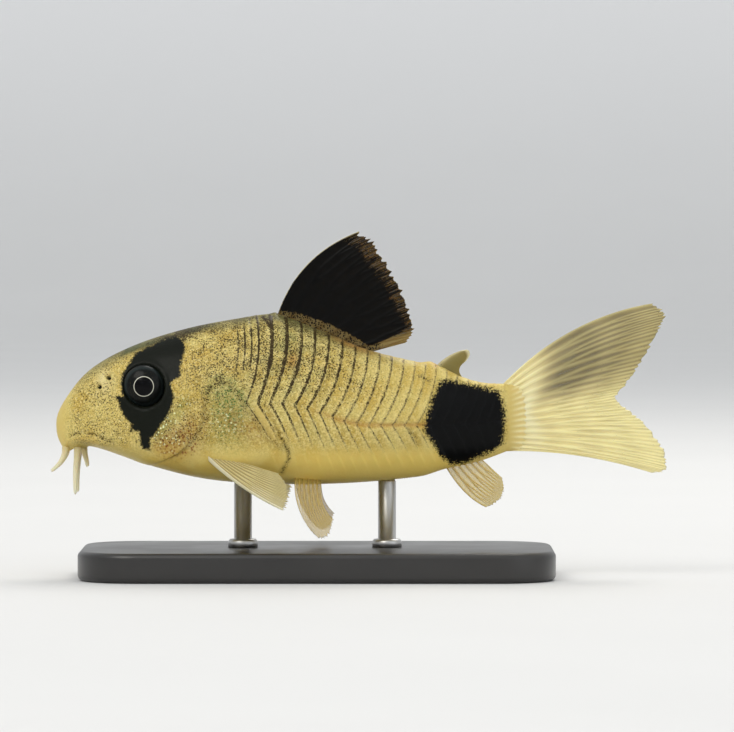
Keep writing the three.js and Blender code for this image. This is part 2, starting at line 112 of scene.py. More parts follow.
@dataclass(frozen=True)
class Contour:
    """A smooth line through points (along, value).

    A blunt one is drawn over the root of the length, which rounds it at the snout.
    """

    points: tuple[Point2, ...]
    blunt: bool = True

    def __call__(self, along: Array) -> Array:
        """The line's value at each place along it.

        Args:
            along: the places, which are kept between the first point and the last.

        Returns:
            The values.
        """
        knots = np.array([p[0] for p in self.points], float)
        values = np.array([p[1] for p in self.points], float)
        at = np.clip(np.asarray(along, float), knots[0], knots[-1])
        if self.blunt:
            knots, at = np.sqrt(knots), np.sqrt(at)
        before = np.r_[0, np.arange(len(knots) - 1)]
        after = np.r_[np.arange(1, len(knots)), len(knots) - 1]
        slopes = (values[after] - values[before]) / (knots[after] - knots[before])
        i = np.clip(np.searchsorted(knots, at) - 1, 0, len(knots) - 2)
        span = knots[i + 1] - knots[i]
        t = (at - knots[i]) / span
        start = (1 + 2 * t) * (1 - t) ** 2 * values[i] + t * (1 - t) ** 2 * span * slopes[i]
        end = t * t * (3 - 2 * t) * values[i + 1] - t * t * (1 - t) * span * slopes[i + 1]
        return start + end


@dataclass(frozen=True)
class Path3:
    """A smooth path in space through points, in hundredths of the length."""

    points: tuple[Point3, ...]

    def __call__(self, share: Array) -> Array:
        """The points of the path.

        Args:
            share: how far along it each point is, 0 to 1.

        Returns:
            One point for each share.
        """
        knots = tuple(np.linspace(0, 1, len(self.points)))
        lines = [Contour(tuple(zip(knots, values)), blunt=False) for values in zip(*self.points)]
        return np.stack([line(share) for line in lines], axis=-1)


@dataclass(frozen=True)
class Crease:
    """A line on the flank, by its points seen from the side."""

    points: tuple[Point2, ...]

    def distance(self, along: Array, up: Array) -> Array:
        """How far each place is from the line.

        Args:
            along: the places' lengthwise coordinates.
            up: their heights.

        Returns:
            The distances, in hundredths of the length.
        """
        nearest = np.full(along.shape, np.inf)
        for (x0, z0), (x1, z1) in zip(self.points, self.points[1:]):
            dx, dz = x1 - x0, z1 - z0
            t = np.clip(((along - x0) * dx + (up - z0) * dz) / (dx * dx + dz * dz), 0, 1)
            nearest = np.minimum(nearest, np.hypot(along - x0 - t * dx, up - z0 - t * dz))
        return nearest

    def shade(self, along: Array, up: Array, width: float, strength: float = 1.0) -> Array:
        """A soft line along the crease, with its half width and its strength."""
        return strength * hump(self.distance(along, up), 0, width)


@dataclass(frozen=True)
class Patch:
    """A patch of colour on the flank, by its outline seen from the side."""

    outline: tuple[Point2, ...]

    def depth(self, along: Array, up: Array) -> Array:
        """How deep inside the outline each place lies.

        Args:
            along: the places' lengthwise coordinates.
            up: their heights.

        Returns:
            The depths in hundredths of the length, negative outside the outline.
        """
        closed = self.outline + self.outline[:1]
        inside = np.zeros(along.shape, bool)
        for (x0, z0), (x1, z1) in zip(closed, closed[1:]):
            crosses = (z0 > up) != (z1 > up)
            inside ^= crosses & (along < x0 + (up - z0) * (x1 - x0) / np.where(crosses, z1 - z0, 1))
        nearest = Crease(closed).distance(along, up)
        return np.where(inside, nearest, -nearest)


@dataclass(frozen=True)
class Spot:
    """A soft spot on the flank, by its strength, its middle and its half lengths."""

    strength: float
    along: float
    length: float
    up: float
    height: float

    def __call__(self, along: Array, up: Array) -> Array:
        """How strongly it shows at each place."""
        return self.strength * hump(along, self.along, self.length) * hump(up, self.up, self.height)


def bent_sheet(columns: int, rows: int, place: Placing) -> bmesh.types.BMesh:
    """A grid bent into a closed skin, with its seams and poles merged.

    Args:
        columns: faces along the first direction.
        rows: faces along the second direction.
        place: gives the points, and the named marks on them, for shares 0 to 1 of both directions.

    Returns:
        The mesh, with one float layer for each mark.
    """
    bm = bmesh.new()
    bmesh.ops.create_grid(bm, x_segments=columns, y_segments=rows, size=0.5)
    shares = np.array([(v.co.x + 0.5, v.co.y + 0.5) for v in bm.verts])
    points, marks = place(shares[:, 0], shares[:, 1])
    for name, values in marks.items():
        layer = bm.verts.layers.float.new(name)
        for vert, value in zip(bm.verts, values.tolist()):
            vert[layer] = value
    for vert, point in zip(bm.verts, points.tolist()):
        vert.co = point
    bmesh.ops.remove_doubles(bm, verts=bm.verts, dist=1e-7)
    return bm


def turned(profile: Iterable[Point2], axis: Vector, sides: int) -> bmesh.types.BMesh:
    """Turns a profile about an upright axis.

    Args:
        profile: its points, by their distance from the axis and their height.
        axis: a point on the axis.
        sides: how many faces go round.

    Returns:
        The mesh, with its poles merged.
    """
    bm = bmesh.new()
    line = [bm.verts.new((axis.x + reach, axis.y, height)) for reach, height in profile]
    edges = [bm.edges.new(pair) for pair in zip(line, line[1:])]
    bmesh.ops.spin(
        bm, geom=line + edges, cent=axis, axis=(0, 0, 1), angle=2 * math.pi, steps=sides, use_merge=True
    )
    bmesh.ops.remove_doubles(bm, verts=bm.verts, dist=1e-6)
    return bm


def finished(
    name: str, bm: bmesh.types.BMesh, material: bpy.types.Material, slot: str, *nodes: str
) -> bpy.types.Object:
    """Makes a piece of a closed mesh, with its faces outward, and hangs it on the frame.

    Args:
        name: the piece's name.
        bm: its mesh, in the model's frame, which is freed.
        material: its finish.
        slot: the name of the record's material slot for the piece; it is not used.
        nodes: the solids that it stands for.

    Returns:
        The piece's object.
    """
    bmesh.ops.recalc_face_normals(bm, faces=bm.faces)
    if bm.calc_volume(signed=True) < 0:
        bmesh.ops.reverse_faces(bm, faces=bm.faces)
    mesh = bpy.data.meshes.new(name)
    bm.to_mesh(mesh)
    bm.free()
    mesh.shade_smooth()
    piece = bpy.data.objects.new(name, mesh)
    bpy.context.scene.collection.objects.link(piece)
    mesh.materials.append(material)
    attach(piece, ROOT)
    if nodes:
        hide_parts(*nodes)
    LOG.info("%s: %d faces, stands for %s", name, len(mesh.polygons), ", ".join(nodes) or "no solid")
    return piece


# Helpers for finishes


def tone(red: int, green: int, blue: int) -> Colour:
    """A colour from its screen values.

    Args:
        red: the red channel, 0 to 255.
        green: the green channel, 0 to 255.
        blue: the blue channel, 0 to 255.

    Returns:
        The linear colour.
    """

    def linear(value: int) -> float:
        """One channel without the screen's curve."""
        share = value / 255
        return share / 12.92 if share <= 0.04045 else ((share + 0.055) / 1.055) ** 2.4

    return (linear(red), linear(green), linear(blue), 1.0)


class Finish:
    """A material under construction: its nodes, and short calls that add and join them.

    COLOUR_A, COLOUR_B and COLOUR_RESULT are the mix node's sockets for colours.
    """

    COLOUR_A = 6
    COLOUR_B = 7
    COLOUR_RESULT = 2

    def __init__(self, name: str) -> None:
        """Starts an empty material with one principled shader.

        Args:
            name: the material's name.
        """
        self.material = bpy.data.materials.new(name)
        self.material.use_nodes = True
        self.tree = self.material.node_tree
        self.tree.nodes.clear()
        self.shader = self.tree.nodes.new("ShaderNodeBsdfPrincipled")
        output = self.tree.nodes.new("ShaderNodeOutputMaterial")
        self.tree.links.new(self.shader.outputs[0], output.inputs["Surface"])
        self.place = self.tree.nodes.new("ShaderNodeTexCoord").outputs["Object"]

    def set(self, **values: float | Point3) -> None:
        """Sets the shader's own sockets; an underscore in a name stands for a space."""
        for name, value in values.items():
            self.shader.inputs[name.replace("_", " ")].default_value = value

    def join(self, source: Socket, name: str) -> None:
        """Joins a source to one of the shader's sockets."""
        self.tree.links.new(source, self.shader.inputs[name])

    def _fill(self, socket: Socket, value: Value) -> None:
        """Joins or sets one input.

        Args:
            socket: the input.
            value: the socket that it is joined to, or the value that it is set to.
        """
        if isinstance(value, Socket):
            self.tree.links.new(value, socket)
        else:
            socket.default_value = value

    def mark(self, name: str) -> Socket:
        """One of the marks that the mesh carries.

        Args:
            name: the mark's name.

        Returns:
            Its value at each place.
        """
        node = self.tree.nodes.new("ShaderNodeAttribute")
        node.attribute_name = name
        return node.outputs["Fac"]

    def height(self) -> Socket:
        """The height of each place, from its Object coordinates.

        Returns:
            The height in metres.
        """
        node = self.tree.nodes.new("ShaderNodeSeparateXYZ")
        self.tree.links.new(self.place, node.inputs[0])
        return node.outputs["Z"]

    def sum(self, operation: str, a: Value, b: Value = 0.0, clamp: bool = False) -> Socket:
        """One step of arithmetic.

        Args:
            operation: its name, such as MULTIPLY.
            a: the first value or socket.
            b: the second value or socket.
            clamp: whether the result is kept from 0 to 1.

        Returns:
            The result.
        """
        node = self.tree.nodes.new("ShaderNodeMath")
        node.operation = operation
        node.use_clamp = clamp
        self._fill(node.inputs[0], a)
        self._fill(node.inputs[1], b)
        return node.outputs[0]

    def times(self, a: Value, b: Value, clamp: bool = False) -> Socket:
        """The product of two values."""
        return self.sum("MULTIPLY", a, b, clamp)

    def plus(self, a: Value, b: Value, clamp: bool = False) -> Socket:
        """The sum of two values."""
        return self.sum("ADD", a, b, clamp)

    def less(self, a: Value, b: Value) -> Socket:
        """The first value less the second."""
        return self.sum("SUBTRACT", a, b)

    def most(self, a: Value, b: Value) -> Socket:
        """The greater of two values."""
        return self.sum("MAXIMUM", a, b)

    def step(self, value: Value, low: float, high: float, start: Value = 0.0, end: Value = 1.0) -> Socket:
        """A soft step of a value.

        Args:
            value: what the step is read from.
            low: where it starts.
            high: where it ends.
            start: the result at its start.
            end: the result at its end.

        Returns:
            The step's result.
        """
        node = self.tree.nodes.new("ShaderNodeMapRange")
        node.interpolation_type = "SMOOTHSTEP"
        given = {"Value": value, "From Min": low, "From Max": high, "To Min": start, "To Max": end}
        for name, one in given.items():
            self._fill(node.inputs[name], one)
        return node.outputs["Result"]

    def blend(self, share: Value, a: Value, b: Value) -> Socket:
        """Blends two colours.

        Args:
            share: how much of b is in the result, 0 to 1.
            a: the first colour.
            b: the second colour.

        Returns:
            The colour between them.
        """
        node = self.tree.nodes.new("ShaderNodeMix")
        node.data_type = "RGBA"
        self._fill(node.inputs[0], share)
        self._fill(node.inputs[self.COLOUR_A], a)
        self._fill(node.inputs[self.COLOUR_B], b)
        return node.outputs[self.COLOUR_RESULT]

    def noise(self, grain: float, detail: float = 2.0, rough: float = 0.5) -> Socket:
        """Cloudy noise.

        Args:
            grain: about how wide its clouds are, in metres.
            detail: how many finer layers lie over them.
            rough: how strong each finer layer is.

        Returns:
            The noise, about 0 to 1.
        """
        node = self.tree.nodes.new("ShaderNodeTexNoise")
        node.inputs["Scale"].default_value = 1 / grain
        node.inputs["Detail"].default_value = detail
        node.inputs["Roughness"].default_value = rough
        self.tree.links.new(self.place, node.inputs["Vector"])
        return node.outputs["Fac"]

    def streaks(self, across: float, along: float) -> Socket:
        """Noise drawn out along a fin's rays.

        Args:
            across: how many streaks lie across the fan.
            along: how many lie along a ray.

        Returns:
            The noise, about 0 to 1.
        """
        node = self.tree.nodes.new("ShaderNodeTexNoise")
        node.inputs["Scale"].default_value = 1.0
        node.inputs["Detail"].default_value = 2.0
        place = self.tree.nodes.new("ShaderNodeCombineXYZ")
        self._fill(place.inputs[0], self.sum("MULTIPLY", self.mark("fan"), across))
        self._fill(place.inputs[1], self.sum("MULTIPLY", self.mark("reach"), along))
        self.tree.links.new(place.outputs[0], node.inputs["Vector"])
        return node.outputs["Fac"]

    def cells(self, grain: float) -> Socket:
        """Scattered cells.

        Args:
            grain: about how far apart they are, in metres.

        Returns:
            The distance from the middle of the nearest one, in grains.
        """
        node = self.tree.nodes.new("ShaderNodeTexVoronoi")
        node.inputs["Scale"].default_value = 1 / grain
        self.tree.links.new(self.place, node.inputs["Vector"])
        return node.outputs["Distance"]

    def relief(self, height: Socket, depth: float, strength: float) -> None:
        """A fine relief that is too small for the mesh.

        Args:
            height: its height, 0 to 1.
            depth: what 1 stands for, in metres.
            strength: how strongly it shows.
        """
        node = self.tree.nodes.new("ShaderNodeBump")
        node.inputs["Strength"].default_value = strength
        node.inputs["Distance"].default_value = depth
        self.tree.links.new(height, node.inputs["Height"])
        self.tree.links.new(node.outputs[0], self.shader.inputs["Normal"])


# The fish's form


SHOULDER_ARCH = Crease(((33.7, 6.9), (34.6, 9.8), (36.4, 10.9), (38.8, 10.4), (40.8, 8.0), (42.4, 5.1)))


@dataclass(frozen=True)
class ScuteRows:
    """The two rows of scutes on each flank, which meet along the middle of the side."""

    first: float = 39.9
    last: float = 98.6
    count: int = 22
    front_pitch: float = 2.74
    lift: float = 0.13 * MM
    crowded: float = 1.85

    def groove(self, along: Array) -> Array:
        """Height of the groove between the rows."""
        return mix(5.1, 0.1, smooth(along, 49, 70)) + 0.9 * smooth(along, 84, 100)

    def sweep(self, along: Array, share: Array, upper: Array) -> Array:
        """How far the scutes' edges are swept back.

        Args:
            along: where each edge meets the groove.
            share: the height of each place away from the groove, as a share of its row's height.
            upper: whether it is in the upper row.

        Returns:
            The distances in hundredths of the length.
        """
        room = np.clip((103 - along) / 14, 0, 1)
        above = mix(8.2, 10.2, smooth(along, 41, 52)) * share - mix(6.2, 5, smooth(along, 50, 62)) * share**2
        below = (8 + 7 * np.exp(-(np.maximum(along, 38) - 41.5) / 8)) * share
        below = below - mix(5, 2, smooth(along, 46, 58)) * share**2
        return np.where(upper, above, below) * room * mix(1, 0.7, smooth(along, 70, 90))

    def number(self, station: Array) -> Array:
        """Counts the scutes along the groove.

        Args:
            station: places on the groove.

        Returns:
            Each place's scute, with its fraction; it is negative ahead of the first.
        """
        taper = (self.last - self.first - self.front_pitch * self.count) * 2 / (self.count * (self.count - 1))
        straight = self.front_pitch - taper / 2
        past = np.maximum(straight**2 + 2 * taper * (station - self.first), 0.01)
        return (np.sqrt(past) - straight) / taper


@dataclass(frozen=True)
class BodyPlan:
    """The trunk's outlines and sections, from the snout to the root of the tail fin."""

    back: Contour = Contour(
        ((0, 0), (2, 5.5), (7.5, 12.1), (17, 17.4), (29.5, 21.4), (40, 23.4), (48.8, 24.3))
        + ((58.5, 20.9), (68.8, 16.7), (79.9, 13.9), (84.5, 13.2), (90.2, 10.5), (95, 9.2), (100, 9))
    )
    belly: Contour = Contour(
        ((0, 0), (0.6, -3.4), (2.4, -5.6), (4.6, -4.9), (8, -4.9), (12.2, -6.1), (22, -9.4))
        + ((33, -12), (45, -13.1), (63, -13.1), (80.7, -11.6), (86.5, -9.9), (94, -8.2), (100, -6.1))
    )
    half_width: Contour = Contour(
        ((0, 0), (1, 3.1), (4, 5.9), (10, 8.6), (19, 10.9), (30, 13), (42, 14))
        + ((52, 13.5), (62, 12), (72, 9.8), (82, 7), (90, 4.7), (95, 3.6), (100, 2.6))
    )
    widest: Contour = Contour(((0, 0), (5, -1.2), (15, -2.2), (35, -3.4), (55, -2.8), (80, 0), (100, 1.2)))
    upper_power: Contour = Contour(((0, 2), (20, 2), (40, 1.75), (70, 1.7), (100, 1.9)))
    lower_power: Contour = Contour(((0, 2.1), (10, 2.5), (40, 2.7), (70, 2.4), (100, 2)))
    end: float = 105.4
    flesh_end: float = 97.6
    eye_along: float = 19.85
    eye_up: float = 8.7

    @property
    def origin(self) -> Array:
        """The place of the snout's tip.

        Returns:
            Its point in the model's frame, found from the middle of the left eye's solid.
        """
        low, high = (np.array(corner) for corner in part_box("eye_left"))
        middle = (low + high) / 2
        return np.array([middle[0] - self.eye_along * PERCENT, 0, middle[2] - self.eye_up * PERCENT])

    def placed(self, points: Array) -> Array:
        """Points in hundredths of the length as points in the model's frame."""
        return self.origin + np.asarray(points, float) * PERCENT

    def skin(self, along: Array, turn: Array) -> Array:
        """Points of the bare skin.

        Args:
            along: the points' lengthwise coordinates.
            turn: the angles round the body, from 0 at the back over the left flank to pi at the belly.

        Returns:
            The points in hundredths of the length.
        """
        x = np.clip(along, 0, 100)
        fleshy = smooth(along, self.flesh_end, self.end)
        rising, across = np.cos(turn), np.sin(turn)
        power = np.where(rising > 0, 2 / self.upper_power(x), 2 / self.lower_power(x))
        reach = np.where(rising > 0, self.back(x) - self.widest(x), self.widest(x) - self.belly(x))
        y = -self.half_width(x) * (1 - 0.99 * fleshy) * np.sign(across) * np.abs(across) ** power
        z = self.widest(x) + reach * (1 - 0.05 * fleshy) * np.sign(rising) * np.abs(rising) ** power
        return np.stack([along, y, z], axis=-1)

    def outward(self, along: Array, turn: Array) -> Array:
        """The skin's outward directions.

        Args:
            along: the places' lengthwise coordinates.
            turn: their angles round the body.

        Returns:
            One unit vector for each place.
        """
        x = np.clip(along, 0.6, self.end - 0.6)
        lengthwise = self.skin(x + 0.5, turn) - self.skin(x - 0.5, turn)
        round_body = self.skin(x, turn + 0.03) - self.skin(x, turn - 0.03)
        normal = np.cross(round_body, lengthwise)
        return normal / np.linalg.norm(normal, axis=-1, keepdims=True)

    def turn_at(self, along: Array, up: Array) -> Array:
        """The angles round the body at which the left flank has some heights.

        Args:
            along: the places' lengthwise coordinates.
            up: their heights.

        Returns:
            The angles.
        """
        x = np.clip(along, 0, 100)
        above = up > self.widest(x)
        reach = np.where(above, self.back(x) - self.widest(x), self.widest(x) - self.belly(x))
        share = np.clip(np.abs(up - self.widest(x)) / np.maximum(reach, 1e-3), 0, 1)
        cosine = share ** (np.where(above, self.upper_power(x), self.lower_power(x)) / 2)
        return np.arccos(np.where(above, cosine, -cosine))

    def flank(self, along: float, up: float, lift: float = 0.0) -> Array:
        """One point on or near the left flank.

        Args:
            along: its lengthwise coordinate.
            up: its height.
            lift: how far it stands off the flank, in hundredths of the length.

        Returns:
            The point in hundredths of the length.
        """
        x = np.array([along])
        turn = self.turn_at(x, np.array([up]))
        return (self.skin(x, turn) + self.outward(x, turn) * lift)[0]


@dataclass(frozen=True)
class TailFan:
    """Where the rays of the tail fin start and spread to, seen from the side."""

    rays: int = 15
    root_along: float = 99.2
    root_top: float = 8.9
    root_height: float = 14.9
    tip_top: float = 26.9
    tip_height: float = 37.8
    length: float = 32.0

    def share(self, along: Array, up: Array) -> Array:
        """The share of the fan at each place, from 0 at its upper edge to 1 at its lower."""
        reach = np.clip((along - self.root_along) / self.length, 0, 1)
        return (mix(self.root_top, self.tip_top, reach) - up) / mix(self.root_height, self.tip_height, reach)


@dataclass
class SkinSheet:
    """The places on the skin where its forms and colours are worked out."""

    plan: BodyPlan
    along: Array
    turn: Array
    points: Array = field(init=False)
    normals: Array = field(init=False)

    def __post_init__(self) -> None:
        """Works out the bare skin."""
        self.points = self.plan.skin(self.along, self.turn)
        self.normals = self.plan.outward(self.along, self.turn)

    @property
    def up(self) -> Array:
        """Height of each place."""
        return self.points[:, 2]

    @property
    def across(self) -> Array:
        """Distance of each place from the middle plane, on the left or the right."""
        return np.abs(self.points[:, 1])


@dataclass(frozen=True)
class FlankArmour:
    """The scutes' relief and the marks of their dark hind edges."""

    rows: ScuteRows = ScuteRows()
    dorsal_knob: Point2 = (48.6, 0.9)
    dorsal_knob_lift: float = 0.2 * MM
    fat_fin_knob: Point2 = (82.9, 1.1)
    fat_fin_knob_lift: float = 0.16 * MM
    groove_depth: float = 0.55
    settling_rounds: int = 8

    def forms(self, sheet: SkinSheet) -> tuple[Array, Marks]:
        """Works out the scutes.

        Args:
            sheet: the places on the skin.

        Returns:
            The relief in metres, and the marks: each scute's number, its dark edge, and the groove.
        """
        rows, plan, along, up = self.rows, sheet.plan, sheet.along, sheet.up
        x = np.clip(along, 0, 100)
        groove = rows.groove(x)
        upper = up > groove
        top, foot = plan.back(x), plan.belly(x)
        share = np.where(upper, (up - groove) / (top - groove), (groove - up) / (groove - foot))
        share = np.clip(share, 0, 1)
        station = along  # settles on the place where the edge through each point meets the groove
        for _ in range(self.settling_rounds):
            station = 0.4 * station + 0.6 * (along - rows.sweep(station, share, upper))
        number = rows.number(station)
        number = np.where(number < 1, 1 - (1 - number) * rows.crowded, number)
        ahead = number < 0
        phase = number - np.floor(number)
        lone = np.clip(1 + number / 4.5, 0, 1)
        falling = 1 - smooth(np.where(ahead, lone, phase), 0.86, 1.0)
        plate = np.where(ahead, 0.9 * lone, phase) ** 0.8 * falling
        behind_head = smooth(along, 34, 39) * (1 - smooth(along, 99, 101))
        thinning = np.where(upper, 1 - 0.75 * smooth(share, 0.9, 1), 1 - smooth(share, 0.5, 0.85))
        shoulder = smooth(share, 0, 0.06) * thinning
        valley = hump(share, 0, 0.035) * smooth(along, 40, 46)
        relief = rows.lift * (plate * shoulder - self.groove_depth * valley) * behind_head
        dorsal_knob = self.dorsal_knob_lift * self.knob(sheet, self.dorsal_knob)
        relief += dorsal_knob + self.fat_fin_knob_lift * self.knob(sheet, self.fat_fin_knob)
        above = mix(1, 0.6, smooth(along, 55, 84))
        below = mix(1.1, 0.85, smooth(along, 54, 66)) * (1 - smooth(share, 0.24, 0.56))
        strength = np.where(upper, above, below)
        short = smooth(share, 0.36, 0.5) * (1 - smooth(share, 0.84, 0.93)) * smooth(number, -3.4, -1.6)
        strength = np.where(ahead & upper, 0.85 * short, strength * smooth(number, -0.2, 0.0))
        strength = strength * np.where(upper, 1 - 0.55 * smooth(share, 0.96, 0.995), 1) * behind_head
        strength = strength * (1 - smooth(along, 94.5, 97))
        return relief, {"number": number, "edge": strength, "groove": valley * behind_head}

    @staticmethod
    def knob(sheet: SkinSheet, at: Point2) -> Array:
        """A small bony knob on the ridge of the back, by its place and its half length."""
        return hump(sheet.along, at[0], at[1]) * hump(sheet.across, 0, 1.2) * (sheet.up > 0)


@dataclass(frozen=True)
class GillCover:
    """The bony cover of the gills, with its free hind margin and the ridge before it."""

    margin: Contour = Contour(
        ((-9, 21), (-7.5, 24.5), (-6, 27.5), (-3.3, 30.4), (0, 32.4), (4.4, 33.1), (8.9, 31.6), (11, 29.5)),
        blunt=False,
    )
    ridge: Contour = Contour(((-6, 21), (-3, 23), (0, 24), (4, 24.6), (8, 25)), blunt=False)
    lift: float = 0.16 * MM
    ridge_lift: float = 0.05 * MM
    arch_lift: float = 0.07 * MM

    def forms(self, sheet: SkinSheet) -> tuple[Array, Array]:
        """Works out the gill cover and the arch on the shoulder behind it.

        Args:
            sheet: the places on the skin.

        Returns:
            The relief in metres, and how deep in the slit behind the margin each place lies.
        """
        behind = sheet.along - self.margin(sheet.up)
        height = smooth(sheet.up, -9.5, -7) * (1 - smooth(sheet.up, 8.5, 11.5)) * (sheet.along < 40)
        cover = smooth(behind, -8, -0.5) * (1 - smooth(behind, -0.25, 0.15))
        slit = hump(behind, 0.45, 0.5)
        fore = hump(sheet.along - self.ridge(sheet.up), 0, 0.6)
        fore = fore * smooth(sheet.up, -6.5, -4) * (1 - smooth(sheet.up, 2, 6))
        arch = SHOULDER_ARCH.shade(sheet.along, sheet.up, 0.55, self.arch_lift)
        return (self.lift * (cover - 0.7 * slit) + self.ridge_lift * fore) * height + arch, slit * height


@dataclass(frozen=True)
class EyeSocket:
    """The hollow that holds an eye, with its low rim."""

    radius: float = 1.74 * MM
    depth: float = 1.1 * MM
    rim: float = 0.06 * MM
    black_radius: float = 1.8 * MM

    def forms(self, sheet: SkinSheet) -> tuple[Array, Array]:
        """Works out the socket.

        Args:
            sheet: the places on the skin.

        Returns:
            The relief in metres, and which places are black.
        """
        plan = sheet.plan
        distance = np.hypot(sheet.along - plan.eye_along, sheet.up - plan.eye_up) * PERCENT
        hollow = 1 - smooth(distance, self.radius - 0.28 * MM, self.radius + 0.08 * MM)
        rim = hump(distance, self.radius + 0.24 * MM, 0.2 * MM)
        return -self.depth * hollow + self.rim * rim, distance < self.black_radius


@dataclass(frozen=True)
class Nostrils:
    """A pair of nostrils on each side, the front one with a flap of skin behind it."""

    places: tuple[Point3, ...] = ((9.9, 8.6, 0.27), (11.9, 10.6, 0.3))
    flap: Point2 = (10.9, 9.9)

    def forms(self, sheet: SkinSheet) -> tuple[Array, Array, Array]:
        """Works out the nostrils.

        Args:
            sheet: the places on the skin.

        Returns:
            The relief in metres, the pits and the pale skin round them.
        """
        relief, pits = np.zeros(len(sheet.along)), np.zeros(len(sheet.along))
        for along, up, radius in self.places:
            distance = np.hypot(sheet.along - along, sheet.up - up) * PERCENT / MM
            pit = 1 - smooth(distance, radius * 0.35, radius)
            relief += (0.1 * hump(distance, radius + 0.1, 0.12) - 0.26 * pit) * MM
            pits = np.maximum(pits, pit)
        distance = np.hypot(sheet.along - self.flap[0], (sheet.up - self.flap[1]) * 0.7) * PERCENT / MM
        relief += 0.16 * MM * hump(distance, 0, 0.26)
        return relief, pits, hump(distance, 0, 0.6)


@dataclass(frozen=True)
class Mouth:
    """The mouth under the snout: a slit inside a ring of soft lips, with a fold running back on each side."""

    along: float = 4.3
    length: float = 2.1
    breadth: float = 3.3
    lip: float = 0.26 * MM
    fold: Crease = Crease(((3.4, -2.4), (5.6, -1.6), (8.4, -2.0), (10.8, -2.8), (12.8, -3.9)))
    upper_lip: Crease = Crease(((3.2, -3.6), (5.6, -2.9), (8.4, -3.2), (10.6, -4.0)))

    def forms(self, sheet: SkinSheet) -> tuple[Array, Array, Array]:
        """Works out the mouth.

        Args:
            sheet: the places on the skin.

        Returns:
            The relief in metres, the slit and the lips.
        """
        ring = np.hypot((sheet.along - self.along) / self.length, sheet.across / self.breadth)
        below = smooth(-sheet.normals[:, 2], 0.15, 0.5) * (sheet.along < 16)
        lips = hump(ring, 1, 0.3) * below
        slit = (1 - smooth(ring, 0.25, 0.62)) * below
        fold = self.fold.shade(sheet.along, sheet.up, 0.34)
        side = self.upper_lip.shade(sheet.along, sheet.up, 0.8)
        relief = self.lip * lips - 0.4 * MM * slit + (0.13 * side - 0.1 * fold) * MM * (1 - lips)
        return relief, np.maximum(slit, 0.4 * fold), np.maximum(lips, 0.7 * side)


# The fish's finishes


